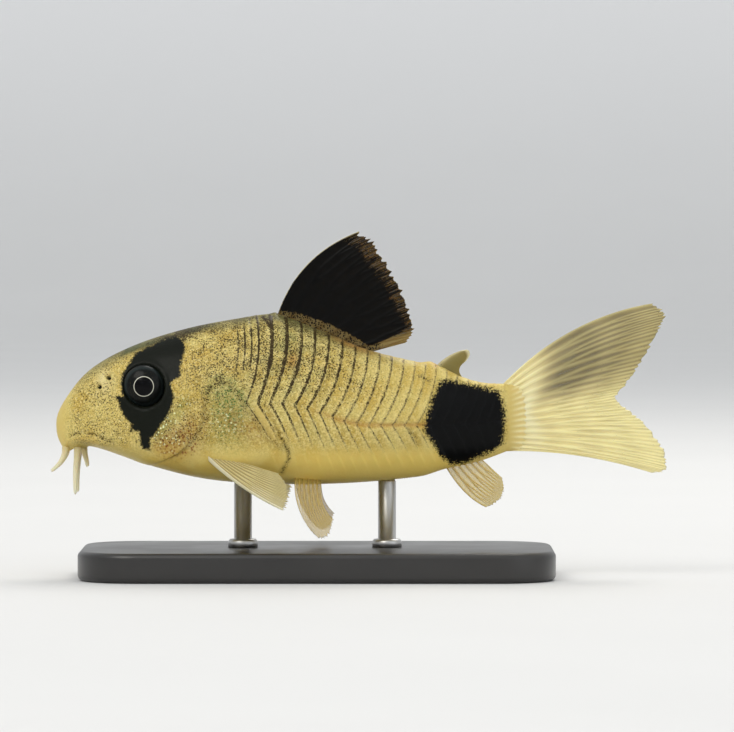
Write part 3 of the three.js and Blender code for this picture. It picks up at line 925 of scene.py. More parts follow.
@dataclass(frozen=True)
class SkinFinish:
    """Wet skin over bony plates: ochre with dark specks, dark scute edges, and two black patches, with
    painted highlights, glints, light and shade.
    """

    flank: Colour = tone(214, 194, 116)
    warm: Colour = tone(202, 174, 88)
    # light is the colour of painted highlights: on the scutes' hind halves and on the gleaming granules.
    light: Colour = tone(236, 220, 150)
    grain: Colour = tone(140, 116, 56)
    crown: Colour = tone(92, 94, 60)
    moss: Colour = tone(134, 138, 92)
    # pale is the colour of the lighter belly: partly its own pale underside, partly painted light from below.
    pale: Colour = tone(244, 214, 114)
    speck: Colour = tone(54, 42, 22)
    black: Colour = tone(6, 7, 7)
    mask: Colour = tone(18, 21, 14)
    green: Colour = tone(66, 108, 54)
    copper: Colour = tone(120, 58, 30)
    # The colour of the painted glints.
    spark: Colour = tone(232, 240, 190)
    rust: Colour = tone(176, 116, 48)
    flesh: Colour = tone(210, 187, 110)
    bright: Colour = tone(240, 230, 176)

    def make(self) -> bpy.types.Material:
        """Builds the material.

        Returns:
            The material, which reads the marks of Skin.
        """
        f = Finish("wet_skin")
        cloudy = f.noise(2.4 * MM, 3)
        fine = f.noise(0.3 * MM, 2, 0.6)
        phase = self._phase(f, fine)
        colour = f.blend(f.step(cloudy, 0.38, 0.64), self.flank, self.warm)
        # Painted highlight: the hind half of each scute is lightened as if lit, most where its edge shows.
        painted_scute_highlight = f.times(f.times(f.step(phase, 0.3, 0.75), f.mark("edge")), 0.45)
        colour = f.blend(painted_scute_highlight, colour, self.light)
        moss = f.times(f.step(f.noise(1.1 * MM, 2), 0.42, 0.62, 0.05, 0.45), f.mark("moss"))
        colour = f.blend(moss, colour, self.moss)
        granules = f.times(f.step(f.noise(0.13 * MM, 1), 0.42, 0.62, 0.0, 0.42), f.mark("grainy"))
        colour = f.blend(granules, colour, self.grain)
        # Painted glints: scattered light granules that stand in for small highlights on the head and flank.
        painted_gleams = f.times(f.step(f.noise(0.19 * MM, 2), 0.5, 0.66, 0.0, 0.6), f.mark("grainy"))
        colour = f.blend(painted_gleams, colour, self.light)
        # Lighter belly: partly its own pale colour, partly painted light from below.
        colour = f.blend(f.times(f.mark("pale"), 0.8), colour, self.pale)
        # The flesh colour also draws the painted highlight along the underside of the tail's stalk.
        colour = f.blend(f.mark("flesh"), colour, self.flesh)
        crown = f.times(f.mark("crown"), f.step(cloudy, 0.2, 0.7, 0.5, 0.9), clamp=True)
        colour = f.blend(crown, colour, self.crown)
        colour = f.blend(f.times(f.mark("rust"), 0.6), colour, self.rust)
        # The whitish tail-ray bases are partly the rays' own pale colour and partly painted glints.
        colour = f.blend(f.mark("white"), colour, self.bright)
        colour = self._glitter(f, colour)
        colour = self._specks(f, colour, fine, phase)
        patch = self._patch(f, fine)
        colour = f.blend(patch, colour, f.blend(f.mark("head"), self.black, self.mask))
        f.join(colour, "Base Color")
        f.join(f.step(fine, 0.2, 0.8, 0.34, 0.52), "Roughness")
        step = f.times(f.times(phase, f.step(phase, 1.0, 0.94)), f.mark("edge"))
        grain = f.plus(f.times(f.cells(0.2 * MM), 0.35), f.times(fine, 0.3))
        f.relief(f.plus(grain, f.times(step, 0.9)), 0.05 * MM, 0.5)
        f.set(Subsurface_Weight=0.2, Subsurface_Scale=0.5 * MM, Subsurface_Radius=(1.0, 0.62, 0.3))
        f.set(Coat_Weight=0.06, Coat_Roughness=0.16, Specular_IOR_Level=0.08)
        return f.material

    def _phase(self, f: Finish, fine: Socket) -> Socket:
        """How far back on its scute a place is, 0 to 1, with a slightly wavy hind edge."""
        wave = f.times(f.less(fine, 0.5), 0.16)
        return f.sum("FRACT", f.plus(f.mark("number"), wave))

    def _patch(self, f: Finish, fine: Socket) -> Socket:
        """The black patches, which break up into fine dots at their edges.

        Args:
            f: the material under construction.
            fine: its fine noise.

        Returns:
            Where it is black.
        """
        ragged = f.times(f.less(f.noise(0.14 * MM, 2, 0.7), 0.5), 1.0)
        ragged = f.plus(ragged, f.times(f.less(fine, 0.5), 0.6))
        # The black mark also holds painted shade in the nostril pits and the mouth's slit.
        return f.step(f.plus(f.mark("black"), ragged), 0.3, 0.68)

    def _specks(self, f: Finish, colour: Socket, fine: Socket, phase: Socket) -> Socket:
        """Adds the dark specks, which crowd together along the scutes' hind edges.

        Args:
            f: the material under construction.
            colour: its colour so far.
            fine: its fine noise.
            phase: how far back on its scute each place is.

        Returns:
            The colour with the specks.
        """
        broad = f.plus(phase, f.times(f.mark("broad"), 0.07))
        near = f.times(f.step(broad, 0.72, 0.86), f.step(phase, 1.0, 0.95))
        line = f.times(near, f.mark("edge"))
        # The dark mark carries painted shade in the gill slit, the groove and the mouth, and a painted shadow
        # under the shoulder arch.
        line = f.most(line, f.mark("dark"))
        crowd = f.plus(f.mark("specks"), f.times(line, 0.9))
        patchy = f.step(f.noise(0.9 * MM, 2), 0.25, 0.6, 0.55, 1.1)
        crowd = f.times(crowd, patchy)
        for grain, size, depth in ((0.26 * MM, 0.28, 0.5), (0.17 * MM, 0.38, 0.85), (0.12 * MM, 0.36, 0.7)):
            dot = f.step(f.less(f.times(crowd, size), f.cells(grain)), -0.03, 0.03)
            colour = f.blend(f.times(dot, depth), colour, self.speck)
        solid = f.times(line, f.step(fine, 0.3, 0.66, 0.14, 0.66), clamp=True)
        return f.blend(solid, colour, self.speck)

    def _glitter(self, f: Finish, colour: Socket) -> Socket:
        """Adds the copper and green glitter of the gill cover and the shoulder, with bright painted glints.

        Args:
            f: the material under construction.
            colour: its colour so far.

        Returns:
            The colour with the glitter.
        """
        cloud = f.noise(0.6 * MM, 3, 0.6)
        for name, tint, grain in (("copper", self.copper, 0.26 * MM), ("green", self.green, 0.22 * MM)):
            grains = f.step(f.cells(grain), 0.5, 0.2, 0.35, 1.0)
            grains = f.times(grains, f.step(cloud, 0.3, 0.5, 0.6, 1.0))
            amount = f.times(f.mark(name), grains)
            colour = f.blend(f.times(amount, 0.9, clamp=True), colour, tint)
        # Painted glints: small bright cells of highlight colour where the mark asks for them.
        sparks = f.step(f.cells(0.3 * MM), 0.32, 0.2)
        return f.blend(f.times(sparks, f.mark("sparks"), clamp=True), colour, self.spark)


@dataclass(frozen=True)
class EyeFinish:
    """A dark eye with a thin bright ring round its pupil."""

    pupil: Colour = tone(3, 3, 4)
    ring: Colour = tone(226, 224, 205)
    iris: Colour = tone(17, 19, 18)
    gold: Colour = tone(96, 84, 44)
    rim: Colour = tone(34, 41, 40)

    def make(self) -> bpy.types.Material:
        """Builds the material.

        Returns:
            The material, which reads how far a place is from the middle of the eye.
        """
        f = Finish("wet_eye")
        out = f.mark("out")
        flecks = f.step(f.cells(0.12 * MM), 0.3, 0.1)
        near = f.times(f.step(out, 0.5, 0.56), f.step(out, 0.86, 0.6))
        colour = f.blend(f.times(f.times(flecks, near), 0.4), self.iris, self.gold)
        colour = f.blend(f.times(f.step(out, 0.78, 0.87), f.step(out, 0.99, 0.9)), colour, self.rim)
        band = f.times(f.step(out, 0.446, 0.456), f.step(out, 0.484, 0.474))
        colour = f.blend(f.step(out, 0.46, 0.44), colour, self.pupil)
        colour = f.blend(band, colour, self.ring)
        f.join(colour, "Base Color")
        f.join(f.step(out, 0.5, 0.9, 0.16, 0.3), "Roughness")
        f.set(Coat_Weight=0.12, Coat_Roughness=0.05, Specular_IOR_Level=0.06)
        return f.material


@dataclass(frozen=True)
class FinFinish:
    """A thin membrane between rays, with pigment where the mesh says."""

    name: str
    membrane: Colour = tone(226, 212, 150)
    ray: Colour = tone(238, 228, 178)
    pigment: Colour = tone(66, 46, 22)
    clear: float = 0.42
    ray_cover: float = 0.85
    pigment_cover: float = 0.9
    speck_grain: float = 0.2 * MM
    dusk: Colour = tone(104, 92, 52)
    threads: float = 60.0
    frayed: float = 0.0
    grey: float = 0.12
    wet: float = 0.25
    bright: Colour = tone(244, 236, 196)

    def make(self) -> bpy.types.Material:
        """Builds the material.

        Returns:
            The material, which reads the marks of Fin.
        """
        f = Finish(self.name)
        fine = f.noise(0.3 * MM, 2, 0.6)
        rays, pigment = f.mark("ray"), f.mark("pigment")
        thread = f.streaks(self.threads, 4.0)
        colour = f.blend(rays, self.membrane, self.ray)
        dusky = f.times(f.mark("dusky"), f.less(1.0, f.times(rays, 0.35)))
        colour = f.blend(dusky, colour, self.dusk)
        colour = f.blend(f.step(thread, 0.42, 0.7, 0.0, self.grey), colour, self.dusk)
        colour = f.blend(f.mark("white"), colour, self.bright)
        loss = f.times(f.step(f.mark("reach"), 0.72, 1.06), f.step(thread, 0.34, 0.62))
        ragged = f.plus(pigment, f.times(f.less(fine, 0.5), 0.7))
        solid = f.step(f.less(ragged, f.times(loss, self.frayed)), 0.42, 0.72)
        dots = f.sum("LESS_THAN", f.cells(self.speck_grain), f.times(f.mark("specks"), 0.42))
        dark = f.most(f.times(solid, f.step(pigment, 0.02, 0.2)), dots)
        colour = f.blend(dark, colour, self.pigment)
        f.join(colour, "Base Color")
        cover = f.step(f.most(rays, f.mark("white")), 0.0, 1.0, self.clear, self.ray_cover)
        f.join(f.step(dark, 0.0, 1.0, cover, self.pigment_cover), "Alpha")
        f.join(f.step(fine, 0.2, 0.8, 0.28, 0.46), "Roughness")
        f.relief(f.plus(rays, f.times(fine, 0.4)), 0.03 * MM, 0.5)
        f.set(Subsurface_Weight=0.3, Subsurface_Scale=0.5 * MM, Subsurface_Radius=(1.0, 0.8, 0.5))
        f.set(Coat_Weight=self.wet, Coat_Roughness=0.2, Specular_IOR_Level=self.wet + 0.1)
        return f.material


@dataclass(frozen=True)
class BarbelFinish:
    """Soft, pale, half-clear flesh."""

    root: Colour = tone(214, 194, 130)
    tip: Colour = tone(240, 232, 196)

    def make(self) -> bpy.types.Material:
        """Builds the material.

        Returns:
            The material, which reads how far along a feeler a place is.
        """
        f = Finish("soft_barbel")
        fine = f.noise(0.25 * MM, 2)
        colour = f.blend(f.plus(f.mark("along"), f.times(fine, 0.3), clamp=True), self.root, self.tip)
        f.join(colour, "Base Color")
        f.join(f.step(fine, 0.2, 0.8, 0.3, 0.45), "Roughness")
        f.relief(fine, 0.02 * MM, 0.4)
        f.set(Subsurface_Weight=0.5, Subsurface_Scale=0.5 * MM, Subsurface_Radius=(1.0, 0.7, 0.5), Alpha=0.76)
        f.set(Coat_Weight=0.3, Coat_Roughness=0.15)
        return f.material


class StandFinish(Enum):
    """The finishes of the display stand."""

    LACQUER = "satin_lacquer"
    STEEL = "brushed_pin"

    def make(self) -> bpy.types.Material:
        """Builds the material.

        Returns:
            The material.
        """
        f = Finish(self.value)
        cloud = f.noise(6 * MM, 4)
        if self is StandFinish.LACQUER:
            f.join(f.blend(cloud, tone(34, 33, 32), tone(46, 44, 42)), "Base Color")
            f.join(f.step(cloud, 0.3, 0.7, 0.28, 0.38), "Roughness")
            f.relief(f.noise(0.5 * MM, 2), 0.01 * MM, 0.3)
            f.set(Coat_Weight=0.2, Coat_Roughness=0.3)
        else:
            f.join(f.blend(cloud, tone(176, 176, 174), tone(200, 200, 198)), "Base Color")
            f.join(f.step(f.noise(0.9 * MM, 3), 0.2, 0.8, 0.3, 0.4), "Roughness")
            f.relief(f.noise(0.1 * MM, 2), 0.0015 * MM, 0.15)
            f.set(Metallic=1.0)
        return f.material


# The fish's pieces


@dataclass(frozen=True)
class Markings:
    """Where the skin is black, pale, speckled or glittering, and where highlights, glints, light and shadows
    are painted on it.
    """

    mask: Patch = Patch(
        ((16.6, 14.0), (18.0, 16.0), (20.8, 17.5), (24.4, 19.1), (26.6, 19.7), (28.4, 18.8), (28.8, 17.1))
        + ((28.4, 15.3), (27.9, 13.1), (27.9, 10.9), (25.7, 9.5), (26.6, 6.4), (25.7, 3.3), (23.9, 0.7))
        + ((22.6, -1.6), (21.3, -2.9), (21.3, -5.3), (19.5, -5.1), (19.1, -3.3), (18.8, -1.1), (16.9, -1.3))
        + ((17.3, 0.2), (15.5, 2.0), (14.6, 4.2), (13.5, 6.7), (15.3, 6.4), (14.6, 9.1), (15.1, 11.3))
    )
    blotch: Patch = Patch(
        ((85.1, 9.5), (87.4, 9.8), (90.0, 9.1), (92.9, 8.6), (95.8, 8.0), (98.2, 7.3), (99.1, 5.1))
        + ((99.6, 2.2), (99.6, -1.1), (99.1, -4.2), (97.1, -5.8), (94.0, -7.1), (90.9, -8.6), (87.8, -8.9))
        + ((85.1, -6.7), (83.4, -3.8), (81.6, -1.3), (82.3, 2.4), (83.4, 5.5))
    )
    window: Patch = Patch(((44.1, 4.7), (45.9, 4.2), (47.6, 0.2), (49.2, -3.2), (47, -1.6), (44.5, 2.2)))
    notch: Crease = Crease(((46.0, 23.9), (46.9, 22.8), (47.8, 21.4)))
    rusty: Crease = Crease(((82.6, 15.7), (83.5, 14.6), (84.4, 13.2)))
    plate_edge: Crease = Crease(
        ((46.6, 4.9), (47.9, 2.2), (49.2, -0.7), (50.6, -3.3), (51.8, -5.5), (51.9, -6.9), (51.2, -8.6))
        + ((50.3, -10.0),)
    )
    dashes: tuple[Crease, ...] = (Crease(((81.0, 10.8), (82.8, 9.7))), Crease(((78.3, -0.9), (80.3, -3.7))))
    smear: Crease = Crease(((42.1, 4.9), (44.8, 1.3), (47.5, -2.7), (50.6, -4.7)))
    cheek_gleam: Crease = Crease(((28.8, 5.1), (27.1, 2.9), (24.8, 0.7), (23.1, -2.0)))
    copper: tuple[Spot, ...] = (
        Spot(1.5, 27, 4.6, -3.4, 3.4),
        Spot(0.7, 30.4, 1.6, -1, 4.6),
        Spot(0.6, 44, 3, -1, 3),
        Spot(0.8, 39.5, 3.2, 1.4, 3.0),
        Spot(0.5, 33.2, 1.0, 2, 4.6),
    )
    green: tuple[Spot, ...] = (
        Spot(1.8, 38.6, 3.6, 4.8, 3.0),
        Spot(0.5, 37.6, 3.8, 9, 2.6),
        Spot(0.6, 51.5, 2.2, 18, 3.0),
        Spot(0.75, 38, 5, -1.2, 3.6),
    )
    sparks: tuple[Spot, ...] = (Spot(0.85, 38, 4, 1, 3), Spot(0.7, 26, 3.6, -3, 2.8))
    shoulder_specks: Spot = Spot(0.3, 39, 4.4, -1.5, 4)
    shoulder_rust: Spot = Spot(1, 52.6, 1.3, 14.4, 1.6)
    flank_moss: Spot = Spot(0.5, 56, 8, 1, 5)
    dorsal_knob: Point2 = (48.8, 0.9)
    fat_fin_knob: Point2 = (82.9, 1.2)

    def marks(self, sheet: SkinSheet) -> Marks:
        """Works out the marks that follow from a place alone.

        Args:
            sheet: the places on the skin.

        Returns:
            The marks by name, most of them 0 to 1.
        """
        along, up = sheet.along, sheet.up
        x = np.clip(along, 0, 100)
        below_back, above_belly = sheet.plan.back(x) - up, up - sheet.plan.belly(x)
        black = np.maximum(self.mask.depth(along, up) / 1.6, self.blotch.depth(along, up) / 3.0) + 0.5
        crown = (1 - smooth(below_back, 0.2, 3.0)) * (1 - smooth(along, 55, 85)) * smooth(along, 3, 10)
        band = smooth(along, 9, 17) * (1 - smooth(along, 29, 38))
        # The lighter belly: partly the fish's own pale underside, partly painted light from below.
        pale = (1 - smooth(up, -8.0, -3.8)) * smooth(along, 3, 12) * mix(0.3, 1, smooth(along, 44, 60))
        # The cheek gleam is a painted glint line; it adds to the green glitter and to the painted glints.
        gleam = self.cheek_gleam.shade(along, up, 1.5)
        window = smooth(self.window.depth(along, up), -0.3, 0.5)
        copper = sum(spot(along, up) for spot in self.copper)
        green = sum(spot(along, up) for spot in self.green) + 0.7 * gleam
        green += SHOULDER_ARCH.shade(along, up, 0.6, 0.35)
        # Painted glints: bright points of reflected light on the shoulder and the cheek.
        sparks = sum(spot(along, up) for spot in self.sparks) + 0.95 * gleam
        rust = self.shoulder_rust(along, up) + hump(along, 66, 5) * hump(below_back, 0, 1.2)
        rust += self.rusty.shade(along, up, 0.7, 0.8)
        return {
            "black": np.clip(black, 0, 1),
            "crown": np.maximum(crown, 1.35 * band * (1 - smooth(below_back, 0.9, 2.0))),
            "pale": pale,
            "specks": np.clip(self._specks(along, up) * (1 - 0.8 * window), 0, 1),
            "copper": np.clip(copper, 0, 1),
            "green": np.clip(green, 0, 1),
            "sparks": np.clip(sparks, 0, 1),
            "flesh": np.clip(self._flesh(sheet, above_belly, window), 0, 1),
            "rust": np.clip(rust, 0, 1),
            "dark": self._dark(along, up, below_back),
            "head": (along < 60).astype(float),
            "grainy": smooth(up, -9, -2) * (1 - 0.5 * smooth(along, 60, 90)) * smooth(along, 0, 5),
            "moss": np.clip(hump(along, 52, 10) * smooth(up, 4, 10) + self.flank_moss(along, up), 0, 1),
            "broad": 1 - smooth(along, 46, 62) + 0.6 * (1 - smooth(along, 36, 44)),
        }

    def _specks(self, along: Array, up: Array) -> Array:
        """How closely the specks lie: crowded on the head and the nape, sparse on the belly and the tail.

        Args:
            along: the places' lengthwise coordinates.
            up: their heights.

        Returns:
            The density at each place.
        """
        head = 1 - smooth(along, 30, 42)
        nape = smooth(along, 28, 36) * (1 - smooth(along, 56, 74)) * smooth(up, 3, 14)
        specks = 0.78 * head * smooth(up, -6.5, -3) + (1 - head) * mix(0.16, 0.62, smooth(up, -3, 9))
        specks = specks + self.shoulder_specks(along, up) + 0.38 * nape
        return specks * smooth(along, 0.4, 5) * (1 - 0.7 * smooth(along, 66, 96)) * smooth(up, -8, -4)

    def _flesh(self, sheet: SkinSheet, above_belly: Array, window: Array) -> Array:
        """The bare, pale flesh: the tip of the snout, the tail's root, the bony knobs and the window; and a
        painted highlight along the underside of the tail's stalk.

        Args:
            sheet: the places on the skin.
            above_belly: their heights above the belly's line.
            window: how far each lies in the window behind the gill cover.

        Returns:
            How bare each place is, with the painted highlight under the tail's stalk.
        """
        along = sheet.along
        ends = np.maximum(1 - smooth(along, 0, 3.0), smooth(along, 99.4, 101.2))
        knobs = FlankArmour.knob(sheet, self.dorsal_knob) + FlankArmour.knob(sheet, self.fat_fin_knob)
        # A painted highlight along the underside of the tail's stalk, drawn in the flesh's colour.
        under_tail_highlight = smooth(along, 88, 93) * (1 - smooth(above_belly, 0.8, 2.4))
        return np.maximum.reduce([ends, 0.75 * window, 0.8 * np.clip(knobs, 0, 1), 0.7 * under_tail_highlight])

    def _dark(self, along: Array, up: Array, below_back: Array) -> Array:
        """The dark lines and dashes, the dark edge of the crown, and a painted shadow just under the shoulder
        arch.

        Args:
            along: the places' lengthwise coordinates.
            up: their heights.
            below_back: their depths below the back's line.

        Returns:
            How dark each place is.
        """
        lines = [
            self.notch.shade(along, up, 0.35, 0.9),
            self.plate_edge.shade(along, up, 0.5, 0.95) * mix(0.4, 1, smooth(along, 48, 50.5)),
            self.smear.shade(along, up, 0.9, 0.45),
            # Painted shadow under the shoulder arch's ridge.
            SHOULDER_ARCH.shade(along, up + 1.1, 0.5, 0.4),
            0.75 * hump(along, 27.5, 4.5) * (1 - smooth(below_back, 0.7, 1.9)),
            0.7 * hump(along, 28.4, 1.8) * (1 - smooth(below_back, 1.8, 3.2)),
        ]
        return np.maximum.reduce(lines + [dash.shade(along, up, 0.7, 0.6) for dash in self.dashes])


@dataclass
class Skin:
    """The whole fish's skin in one piece, with its scutes, gill covers, sockets, nostrils and lips."""

    plan: BodyPlan
    columns: int = 516
    rows: int = 192
    armour: FlankArmour = FlankArmour()
    gills: GillCover = GillCover()
    socket: EyeSocket = EyeSocket()
    nostrils: Nostrils = Nostrils()
    mouth: Mouth = Mouth()
    markings: Markings = Markings()
    tail: TailFan = TailFan()
    head_density: float = 0.62
    end_rounding: float = 2.4
    ray_base_lift: float = 0.06 * MM
    patch_smoothing: float = 0.55

    def shape(self, lengthwise: Array, round_body: Array) -> tuple[Array, Marks]:
        """Shapes the skin.

        Args:
            lengthwise: shares 0 to 1 along the body.
            round_body: shares 0 to 1 round it.

        Returns:
            The points in the model's frame, and the marks on them.
        """
        # the faces are shorter on the head than on the tail, and the flesh ends in a round edge
        along = self.plan.end * (self.head_density * lengthwise + (1 - self.head_density) * lengthwise**2)
        turn = (2 * round_body - 1) * math.pi
        along = along - self.end_rounding * np.cos(turn) ** 2 * smooth(lengthwise, 0.93, 1.0)
        sheet = SkinSheet(self.plan, along, turn)
        armour, scutes = self.armour.forms(sheet)
        cover, slit = self.gills.forms(sheet)
        hollow, eye_black = self.socket.forms(sheet)
        nose, pits, wings = self.nostrils.forms(sheet)
        lips_relief, mouth_slit, lips = self.mouth.forms(sheet)
        lift = armour + cover + hollow + nose + lips_relief
        marks = self.markings.marks(sheet)
        fan = self.tail.share(along, sheet.up)
        waves = 0.5 + 0.5 * np.cos(2 * math.pi * (self.tail.rays - 1) * fan)
        bases = waves**2 * smooth(along, 100.2, 103.6)
        lift += self.ray_base_lift * bases
        # The whitish ray bases are partly the rays' own pale colour and partly painted glints; the pale patch
        # by the nostrils is the skin's own colour.
        white = 0.25 * smooth(along, 100, 104) + 0.75 * bases + 0.5 * wings * (1 - pits)
        marks["white"] = np.clip(white, 0, 1)
        lift -= self.patch_smoothing * armour * smooth(marks["black"], 0.6, 1) * (along > 70)
        lift *= smooth(lengthwise, 0, 0.02) * (1 - smooth(lengthwise, 0.985, 1))
        points = self.plan.placed(sheet.points) + sheet.normals * lift[:, None]
        last_ring = lengthwise > 1 - 0.5 / self.columns
        points[last_ring, 1] = 0
        marks["number"], marks["edge"] = scutes["number"], np.clip(scutes["edge"], 0, 1)
        # Painted shade: the gill slit, the groove between the scute rows, and the mouth's slit and fold are
        # darkened where shade falls in them.
        dark = [0.16 * slit, 0.1 * scutes["groove"], 0.8 * mouth_slit, marks["dark"]]
        marks["dark"] = np.clip(np.maximum.reduce(dark), 0, 1)
        marks["rust"] = np.clip(marks["rust"] + 0.8 * scutes["groove"] * smooth(along, 54, 64), 0, 1)
        # The nostril pits and the mouth's slit are painted black, as painted shade in these hollows.
        black = [marks["black"], eye_black.astype(float), 0.8 * pits, 1.1 * mouth_slit - 0.5]
        marks["black"] = np.clip(np.maximum.reduce(black), 0, 1)
        marks["flesh"] = np.clip(np.maximum(marks["flesh"], np.maximum(0.8 * lips, wings)), 0, 1)
        return points, marks

    def build(self) -> bpy.types.Object:
        """Builds and dresses the skin.

        Returns:
            The skin.
        """
        bm = bent_sheet(self.columns, self.rows, self.shape)
        nodes = ("head", "trunk", "tail", "gill_cover_left", "gill_cover_right")
        return finished("skin", bm, SkinFinish().make(), "skin", *nodes)


@dataclass
class Eye:
    """One eye, a flattened ball that stands a little out of the head."""

    side: str
    segments: int = 72
    rings: int = 48
    lens: float = 0.1
    lens_radius: float = 0.6

    def build(self, material: bpy.types.Material) -> bpy.types.Object:
        """Builds and dresses the eye from the size of its solid.

        Args:
            material: its finish.

        Returns:
            The eye.
        """
        low, high = (Vector(corner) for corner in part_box(f"eye_{self.side}"))
        middle, half = (low + high) / 2, (high - low) / 2
        bm = bmesh.new()
        bmesh.ops.create_uvsphere(bm, u_segments=self.segments, v_segments=self.rings, radius=1)
        layer = bm.verts.layers.float.new("out")
        for vert in bm.verts:
            facing = vert.co.z < 0
            reach = math.hypot(vert.co.x, vert.co.y)
            vert[layer] = reach if facing else 1.0
            lens = self.lens * max(0.0, 1 - (reach / self.lens_radius) ** 2) if facing else 0.0
            outward = SIDES[self.side] * (lens - vert.co.z)
            vert.co = Vector((vert.co.x * half.x, outward * half.y, vert.co.y * half.z)) + middle
        return finished(f"eye_ball_{self.side}", bm, material, "eye", f"eye_{self.side}")


@dataclass
class Barbel:
    """One feeler, a soft taper along a path."""

    node: str
    path: tuple[Point3, ...]
    root_radius: float
    tip_radius: float
    rings: int = 40
    segments: int = 20
    tip_start: float = 0.93
    tip_length: float = 0.07

    def build(self, plan: BodyPlan, side: str, material: bpy.types.Material) -> bpy.types.Object:
        """Builds and dresses the feeler on one side.

        Args:
            plan: where the fish lies.
            side: left or right.
            material: the feeler's finish.

        Returns:
            The feeler.
        """
        path = Path3(self.path)

        def shape(share: Array, round_barbel: Array) -> tuple[Array, Marks]:
            """Shapes the feeler.

            Args:
                share: shares 0 to 1 along it.
                round_barbel: shares 0 to 1 round it.

            Returns:
                The points and the mark of how far along they are.
            """
            middle = path(share) * PERCENT
            ahead = (path(np.clip(share + 0.02, 0, 1)) - path(np.clip(share - 0.02, 0, 1))) * PERCENT
            ahead /= np.linalg.norm(ahead, axis=-1, keepdims=True)
            first = np.cross(ahead, np.array([1.0, 0.3, 0.0]))
            first /= np.linalg.norm(first, axis=-1, keepdims=True)
            second = np.cross(ahead, first)
            radius = mix(self.root_radius, self.tip_radius, share**0.8)
            tip = ((share - self.tip_start) / self.tip_length).clip(0, 1)
            radius = radius * np.sqrt(np.clip(1 - tip**2, 0, 1))
            radius = radius * np.where(share < 0.001, 0, 1)
            angle = round_barbel * 2 * math.pi
            ring = first * np.cos(angle)[:, None] + second * np.sin(angle)[:, None]
            points = middle + ring * radius[:, None]
            points[:, 1] *= SIDES[side]
            return points + plan.origin, {"along": share}

        bm = bent_sheet(self.rings, self.segments, shape)
        return finished(f"{self.node}_feeler_{side}", bm, material, "barbel", f"{self.node}_{side}")


def unmarked(fan: Array, reach: Array) -> Array:
    """A mark that a fin doesn't carry: 0 everywhere."""
    return np.zeros_like(fan)


